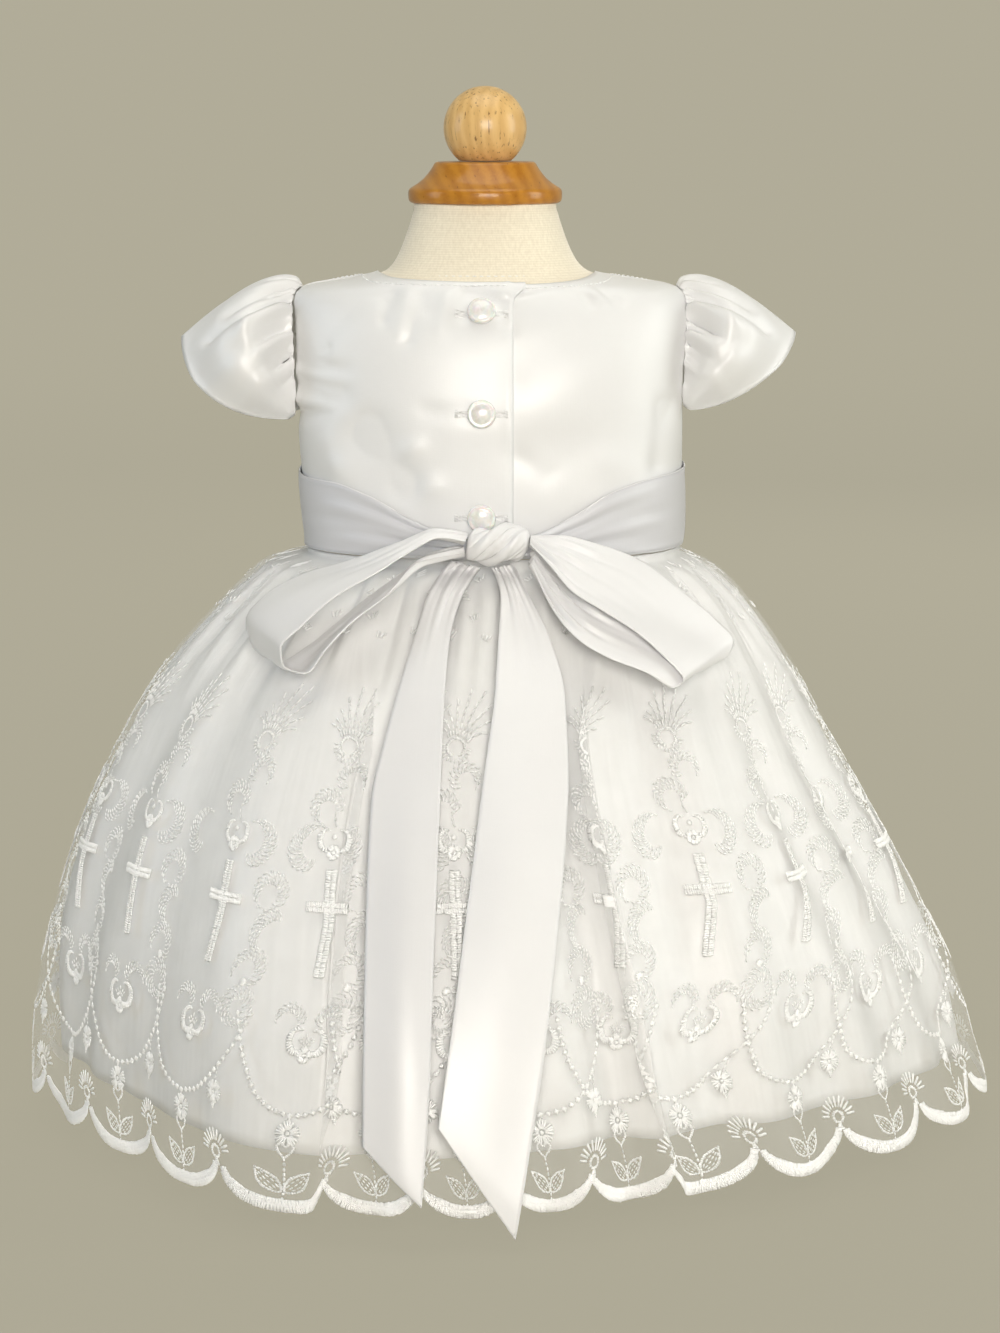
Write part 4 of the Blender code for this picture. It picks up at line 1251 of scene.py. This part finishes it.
def sewn(name, draw_pattern, seed):
    """A pattern's stitches, laid on the skirt once for each repeat."""
    pattern = Pattern()
    draw_pattern(pattern)
    draw = np.random.default_rng(seed)
    rows = np.tile(np.array(pattern.rows), (REPEATS, 1))
    repeat = np.repeat(np.arange(REPEATS, dtype=float), len(pattern.rows))
    ends = rows[:, :4] + draw.normal(0, NEEDLE_SPREAD, (len(rows), 4))
    start, end = ends[:, :2], ends[:, 2:]
    forward = end - start
    length = np.maximum(np.linalg.norm(forward, axis=1, keepdims=True), 1e-6)
    left = across(forward.T).T / length * rows[:, 4:5] / 2
    top = THREAD_LOW + THREAD_RISE * rows[:, 5] * draw.uniform(0.8, 1.2, len(rows))
    low = np.full(len(rows), -THREAD_SINK)
    inset = forward * np.clip(0.45 / length, 0.08, 0.3)
    near, far = start + inset, end - inset
    corners = [(start, low), (near + left, low), (near, top), (near - left, low),
               (far + left, low), (far, top), (far - left, low), (end, low)]
    verts = np.stack([on_skirt(repeat, flat[:, 0], flat[:, 1], lift) for flat, lift in corners], axis=1)
    faces = [tuple(8 * i + c for c in face) for i in range(len(rows)) for face in STITCH_FACES]
    obj = make_object(name, verts, faces, THREAD)
    obj.data.polygons.foreach_set("use_smooth", np.array(STITCH_SMOOTH * len(rows)))
    return obj


EMBROIDERY = [
    sewn("embroidery_border", border, 11),
    sewn("embroidery_swags", swags, 12),
    sewn("embroidery_scrolls", scrolls, 13),
    sewn("embroidery_crosses", crosses, 14),
    sewn("embroidery_crowns", crowns, 15),
]

# ---------------------------------------------------------------- sash and bow


def sash_rows():
    bearings = np.linspace(-180, 180, 271)[:-1]
    bottom, top, out = read(SASH, bearings)
    near = bump(bearings, 46)
    rows = []
    for share in np.linspace(0, 1, 19):
        lines = np.sin(share * 15.0 + 0.045 * bearings) + 0.6 * np.sin(share * 27.0 - 0.06 * bearings)
        slack = 0.8 * np.sin(np.radians(bearings * 5) + share * 2.5) * (1 - near)
        fade = ramp(share, 0.0, 0.12) * (1 - ramp(share, 0.9, 1.0))
        swell = 0.5 * np.sin(pi * share)
        height = bottom + (top - bottom) * share
        folds = (0.75 * (lines * near) + 0.45 * slack) * fade
        rows.append(body_point(bearings - 90, height, out + folds + swell))
    return np.array(rows)


def ribbon_piece(node, grid, finish, side, edges, closed=False):
    """A piece of ribbon, and the thin woven cord along its edges."""
    return (cloth(node + "_ribbon", grid, finish, RIBBON, node, closed, side),
            tube(node + "_selvedge", edges, 0.33, RIBBON_CLOTH, closed=closed))


sash_grid = sash_rows()
sash = ribbon_piece("sash", sash_grid, PAINTED_SHADE_SASH_CLOTH, 1.0,
                    [row + unit(row * [1, 1, 0]) * 0.3 for row in sash_grid[[0, -1]]], closed=True)


def loop_surface(stations, count=121, levels=41):
    """A bow loop from its station table, gathered towards both ends at the knot."""
    columns = along(stations, count)
    far, near = points(*columns[:3]), points(*columns[3:])
    place = np.linspace(0, 1, count)
    normal = unit(np.cross(np.gradient((far + near) / 2, axis=0), near - far))
    close = bump(np.minimum(place, 1 - place), 0.16)
    rows = []
    for share in np.linspace(0, 1, levels):
        ribs = 1.5 * close * (np.sin(share * 23 + place * 9) + 0.5 * np.sin(share * 41 - place * 14))
        sway = 0.8 * (1 - close) * np.sin(place * 17 + share * 4.2) * np.sin(pi * share)
        crown = 0.9 * np.sin(pi * share) * (1 - 0.5 * close)
        fade = ramp(share, 0, 0.1) * (1 - ramp(share, 0.9, 1))
        rows.append(far + (near - far) * share + normal * (ribs * fade + sway + crown)[:, None])
    return np.array(rows)


def tail_surface(stations, seed, curl, count=90, levels=33):
    """A tail of the bow: gathered at the knot, then hanging nearly flat with slow waves.

    curl is the share of its width that is turned under along the left edge.
    """
    left_height, left_x, right_height, right_x, lift = along(stations, count)
    left, right = (np.array([over_skirt(*place) for place in zip(x, height, lift)])[::-1]
                   for x, height in ((left_x, left_height), (right_x, right_height)))
    place = np.linspace(1, 0, count)  # 0 at the knot
    close = bump(place, 0.16)
    columns = []
    for share in np.concatenate([np.linspace(-curl, 0, 9)[:-1], np.linspace(0, 1, levels)]):
        inside, under = max(share, 0.0), max(-share, 0.0)
        bow = -1.4 * sin(pi * inside)
        ribs = -1.5 * close * (sin(inside * 15 + seed) + 0.5 * sin(inside * 27 + 2 * seed))
        slow = -1.3 * (1 - close) * np.sin(place * 9.0 + seed) * sin(pi * inside)
        sway = -0.8 * (1 - close) * sin(2 * pi * inside + seed) * np.sin(place * 5 + 1)
        back = 1.5 * sin(min(under / 0.1, 1) * pi / 2) * (1 - bump(place - 1, 0.12))
        span = left + (right - left) * (inside + under * 0.8 - 0.02 * min(under / 0.02, 1))
        columns.append(span + points(0 * place, bow + ribs + slow + sway + back, 0 * place))
    return np.stack(columns, axis=1)


def bow_loop(node, stations):
    grid = loop_surface(stations)
    return ribbon_piece(node, grid, RIBBON_CLOTH, 0.0, grid[[0, -1]])


def tail(node, finish, *shape):
    grid = tail_surface(*shape)
    return ribbon_piece(node, grid, finish, 1.0, (grid[:, 0], grid[:, -1]))


loop_left = bow_loop("bow_loop_left", LOOP_LEFT)
loop_right = bow_loop("bow_loop_right", LOOP_RIGHT)
tail_left = tail("tail_left", PAINTED_SHADE_TAIL_CLOTH, TAIL_LEFT, 0.6, 0.34)
tail_right = tail("tail_right", RIBBON_CLOTH, TAIL_RIGHT, 2.1, 0.05)


def knot_surface(count=84, levels=49):
    """The band that ties the bow: folds wind over it at a slant, and its ends tuck in."""
    turn = np.linspace(0, 2 * pi, count, endpoint=False)
    end = KNOT["along"][-1]
    rows = []
    for place in np.linspace(-end, end, levels):
        radius, = read(KNOT, place)
        wind = 3 * turn + place * 0.42 + 0.5 * np.sin(turn)
        folds = 0.15 * np.cos(wind) + 0.07 * np.cos(2 * wind + 0.9 + place * 0.2)
        folds = folds - 0.16 * bump(np.cos(wind), 0.25)
        r = radius * (0.91 + folds * (1 - bump(abs(place) - end, 1.6)))
        rows.append(points(place + 0.16 * r * np.sin(turn), r * KNOT_DEPTH * np.cos(turn),
                           r * np.sin(turn) + 0.08 * place) + KNOT_CENTRE)
    return np.array(rows)


knot = cloth("bow_knot_ribbon", knot_surface()[::-1], RIBBON_CLOTH, RIBBON, "bow_knot", True, -1.0)

# ---------------------------------------------------------------- sewing on the bodice


def seam_stitches(name, path, normals, length, gap=0.8, radius=0.24, finish=SEWING):
    """A line of machine stitches along a path on the cloth."""
    travel = travelled(path)
    arch = radius * (1.2 * np.sin(np.linspace(0, pi, 5)) - 0.2) - 0.05
    paths = []
    for i in range(int(travel[-1] // (length + gap))):
        places = i * (length + gap) + length * np.linspace(0, 1, 5)
        line, out = (points(*(np.interp(places, travel, column) for column in values.T))
                     for values in (path, normals))
        paths.append(line + unit(out) * arch[:, None])
    return tube(name, paths, radius, finish, 5)


def neck_topstitch(name, first, last, creases, lift=None):
    angles = np.linspace(first, last, 90)
    heights = neckline(angles) - 1.6
    out = cloth_out(angles, heights, creases, lift) + CLOTH
    return seam_stitches(name, body_point(angles, heights, out), body_normal(angles, heights), 1.8)


lap_edges = [back_angle(PLACKET_EDGE + aside, NECK_BACK) for aside in (-1, 1)]
neck_left = neck_topstitch("neck_stitches_left", -178.0, lap_edges[0], BACK_CREASES, placket_lift)
neck_right = neck_topstitch("neck_stitches_right", lap_edges[1], -2.0, BACK_CREASES)
neck_front = neck_topstitch("neck_stitches_front", 2.0, 178.0, FRONT_CREASES)


def buttonhole(name, height, half_length=9.6, half_width=1.3):
    """A bar-tacked buttonhole: two lines of close stitches on each side of its slit."""
    def stitch(x, reach, rise):
        """A short stitch up the back at x, over reach in height, arched over the cloth by rise."""
        z = height + reach
        angle = back_angle(BUTTON_X + x, z)
        out = cloth_out(angle, z, BACK_CREASES) + CLOTH + placket_lift(BUTTON_X + x, z)
        arch = rise * np.sin(np.linspace(0, pi, len(reach)))
        return body_point(angle, z, out) + body_normal(angle, z) * arch[:, None]

    reach = np.linspace(-half_width - 0.2, half_width + 0.2, 5)
    paths = [stitch(x, side * np.linspace(0.25, half_width, 4), 0.12)
             for x in np.arange(-half_length, half_length + 0.01, 0.56) for side in (-1, 1)]
    paths += [stitch(end * (half_length + 0.3 + 0.5 * step), reach, 0.4)
              for end in (-1, 1) for step in range(3)]
    return tube(name, paths, 0.25, SEWING, 5)


BUTTONHOLES = [buttonhole(node.replace("button", "buttonhole"), height)
               for node, height in BUTTON_HEIGHTS.items()]

# ---------------------------------------------------------------- buttons

BUTTON_PROFILE = rows_of(2, """
    0.05 3.3  1.4 3.25  2.7 3  3.6 2.7  4.2 2.42  4.6 2.36  5 2.5  5.4 2.48
    5.75 2.1  5.95 1.6  6 1.2  5.9 0.8  5.5 0.35  4.8 0.05  4 0  0.05 0""")
for node, height in BUTTON_HEIGHTS.items():
    angle = back_angle(BUTTON_X, height)
    seat = body_point(angle, height, 2 * SATIN + 2.3 * SEAM_GAP)
    turned_piece(node + "_pearl", BUTTON_PROFILE, PEARL, 48, node, seat, body_normal(angle, height))

# ---------------------------------------------------------------- dress form

FORM_STEPS = 120  # mesh columns round the torso
NECK_SEAM = 373.6


def form_rings():
    turn = np.linspace(0, 360, FORM_STEPS, endpoint=False)
    rings = []
    for height in [*np.linspace(152, 360, 40), *np.linspace(361, 376, 24), *np.linspace(377, 402.9, 26)]:
        swell = -TORSO_INSET + 0.35 * bump(height - 372.6, 0.9) - 0.3 * bump(height - 371.0, 0.8)
        pinch = 0.88 + 0.12 * ramp(height, 150, 158)
        ring = body_point(turn, min(height, 400.2), swell) * [pinch, pinch, 1]
        ring[:, 2] = height
        rings.append(ring)
    return np.array(rings)


rings = form_rings()
first_ring = list(range(FORM_STEPS))
faces = grid_faces(len(rings), FORM_STEPS, True)
faces += [first_ring[::-1], [(len(rings) - 1) * FORM_STEPS + i for i in first_ring]]
form_body = make_object("form_jersey", rings, faces, JERSEY, "form_torso")

seam_turn = np.linspace(0, 360, 240)
seam_stitches("form_seam_stitches", body_point(seam_turn, NECK_SEAM, -TORSO_INSET + 0.35),
              body_normal(seam_turn, NECK_SEAM), 2.2, radius=0.22, finish=(SEWING[0], "cream_jersey"))

CAP_PROFILE = rows_of(2, """
    0.05 420.6  12 420.6  19.6 420.6  20.7 420.5  21.6 420.1  22.1 419.4  22.9 418  24.6 415.6
    26.5 413.4  29.2 411.2  31.6 409.7  32.6 409  33.1 408.2  33.25 407.2  33.2 405.4  33 404.2
    32.4 403.3  31.6 403  0.05 403""")
ball_seat = asin((CAP_TOP + SEAM_GAP - BALL_CENTRE) / BALL_RADIUS)
ball_turns = np.linspace(radians(89.5), ball_seat, 60)
BALL_PROFILE = [(BALL_RADIUS * cos(t), BALL_CENTRE + BALL_RADIUS * sin(t)) for t in ball_turns]
BALL_PROFILE = np.array([*BALL_PROFILE, (0.05, CAP_TOP + SEAM_GAP)])
turned_piece("form_cap_wood", CAP_PROFILE, CAP_WOOD, 128, "form_cap", (FORM_X, 0, 0))
turned_piece("form_ball_wood", BALL_PROFILE, BALL_WOOD, 128, "form_ball", (FORM_X, 0, 0))

FOOT = foot_paint()
for node in ("form_post", "form_foot"):
    frame["nodes"][node].material_slots[0].material = FOOT

# ---------------------------------------------------------------- room, light and camera

BACKDROP = (0.462, 0.434, 0.335)
SHADED = (0.048, 0.045, 0.035)  # the paper's own colour, apart from its glow, whose slight grading is painted light
FLOOR_EDGE, CURVE_START, CURVE_RADIUS, WALL_TOP = 3000, 4200, 1800, 12000


def scaled(colour, *factors):
    return [[channel * factor for channel in colour] for factor in factors]


def studio():
    """A plain pale floor that curves up into a wall all round, far enough off to walk round the object."""
    look = Look("studio_paper", BACKDROP, 0.9, emission_strength=0.885, specular_ior_level=0.0)
    depth = look.add("SeparateXYZ", {"vector": look.place()}).outputs["Y"]
    # The glow is painted a little darker at the front of the floor and brighter towards the back wall:
    # painted light for the way the lamps fall on the paper.
    tone = look.mix(look.spread(depth, 0.0, 1.0, -0.6, 4.6), *scaled(BACKDROP, 0.935, 1.045))
    cloudy = look.noise(look.place(), 1.5)
    paper = look.set(base_color=look.mix(cloudy, *scaled(SHADED, 0.98, 1.02)), emission_color=tone)
    floor = [(0, 0), (FLOOR_EDGE / 2, 0), (FLOOR_EDGE, 0)]
    curve = [(CURVE_START + CURVE_RADIUS * sin(a), CURVE_RADIUS - CURVE_RADIUS * cos(a))
             for a in np.radians(np.arange(7.5, 90.1, 7.5))]
    wall = [(FLOOR_EDGE, 0), (CURVE_START, 0), *curve, (CURVE_START + CURVE_RADIUS, WALL_TOP)]
    for name, profile, first, last, lights_cloth in (("studio_floor", floor, -180, 180, True),
                                                     ("studio_wall", wall, -64, 64, True),
                                                     ("studio_surround", wall, 64, 296, False)):
        turns = np.radians(np.arange(first, last + 1, 4))
        grid = [[(r * sin(t), r * cos(t), z) for t in turns] for r, z in profile]
        obj = smooth_mesh(name, grid, grid_faces(len(profile), len(turns)), paper)
        obj.visible_diffuse = obj.visible_glossy = obj.visible_shadow = lights_cloth


def softbox(name, place, aim_height, size, power, colour, gloss=True):
    light = bpy.data.lights.new(name, "AREA")
    light.shape = "RECTANGLE"
    light.size, light.size_y = size
    light.energy = power
    light.color = colour
    obj = placed(name, light)
    obj.location = place
    obj.rotation_euler = (Vector((0, 0, aim_height)) - Vector(place)).to_track_quat("-Z", "Y").to_euler()
    obj.visible_camera = False
    obj.visible_glossy = gloss


studio()
softbox("front_light", (0.20, -2.40, 0.82), 0.22, (1.2, 1.0), 45.0, (1.0, 0.96, 0.89))
softbox("right_light", (2.00, -0.30, 0.75), 0.22, (0.7, 1.4), 15.5, (0.97, 1.0, 0.955))
softbox("left_light", (-2.00, -0.30, 0.80), 0.22, (0.7, 1.4), 8.6, (0.72, 0.86, 1.0))
softbox("top_light", (0.00, -0.20, 2.10), 0.20, (1.6, 1.4), 15.5, (1.0, 0.985, 0.89))
softbox("far_light", (0.50, 2.20, 1.20), 0.22, (1.2, 1.0), 14.0, (1.0, 0.97, 0.92), gloss=False)

world = bpy.data.worlds.new("studio_air")
world.use_nodes = True
air = world.node_tree.nodes["Background"].inputs
air["Color"].default_value = (1.0, 0.975, 0.93, 1.0)
air["Strength"].default_value = 0.02
scene = bpy.context.scene
scene.world = world
scene.view_settings.view_transform = "Standard"
scene.cycles.transparent_max_bounces = 24

PHOTO_HEIGHT = 1333.0
FOCAL = 3793.0  # the camera's focal length in the photograph's pixels
SENSOR = 36.0
CAMERA_PLACE = (0.0057, -1.650, 0.4516)
CAMERA_DIP = 8.66  # degrees below level

camera_data = bpy.data.cameras.new("camera")
camera_data.sensor_width = SENSOR
camera_data.lens = FOCAL / PHOTO_HEIGHT * SENSOR
camera = placed("camera", camera_data)
camera.location = CAMERA_PLACE
camera.rotation_euler = (radians(90.0 - CAMERA_DIP), 0.0, 0.0)
scene.camera = camera

bpy.context.view_layer.update()
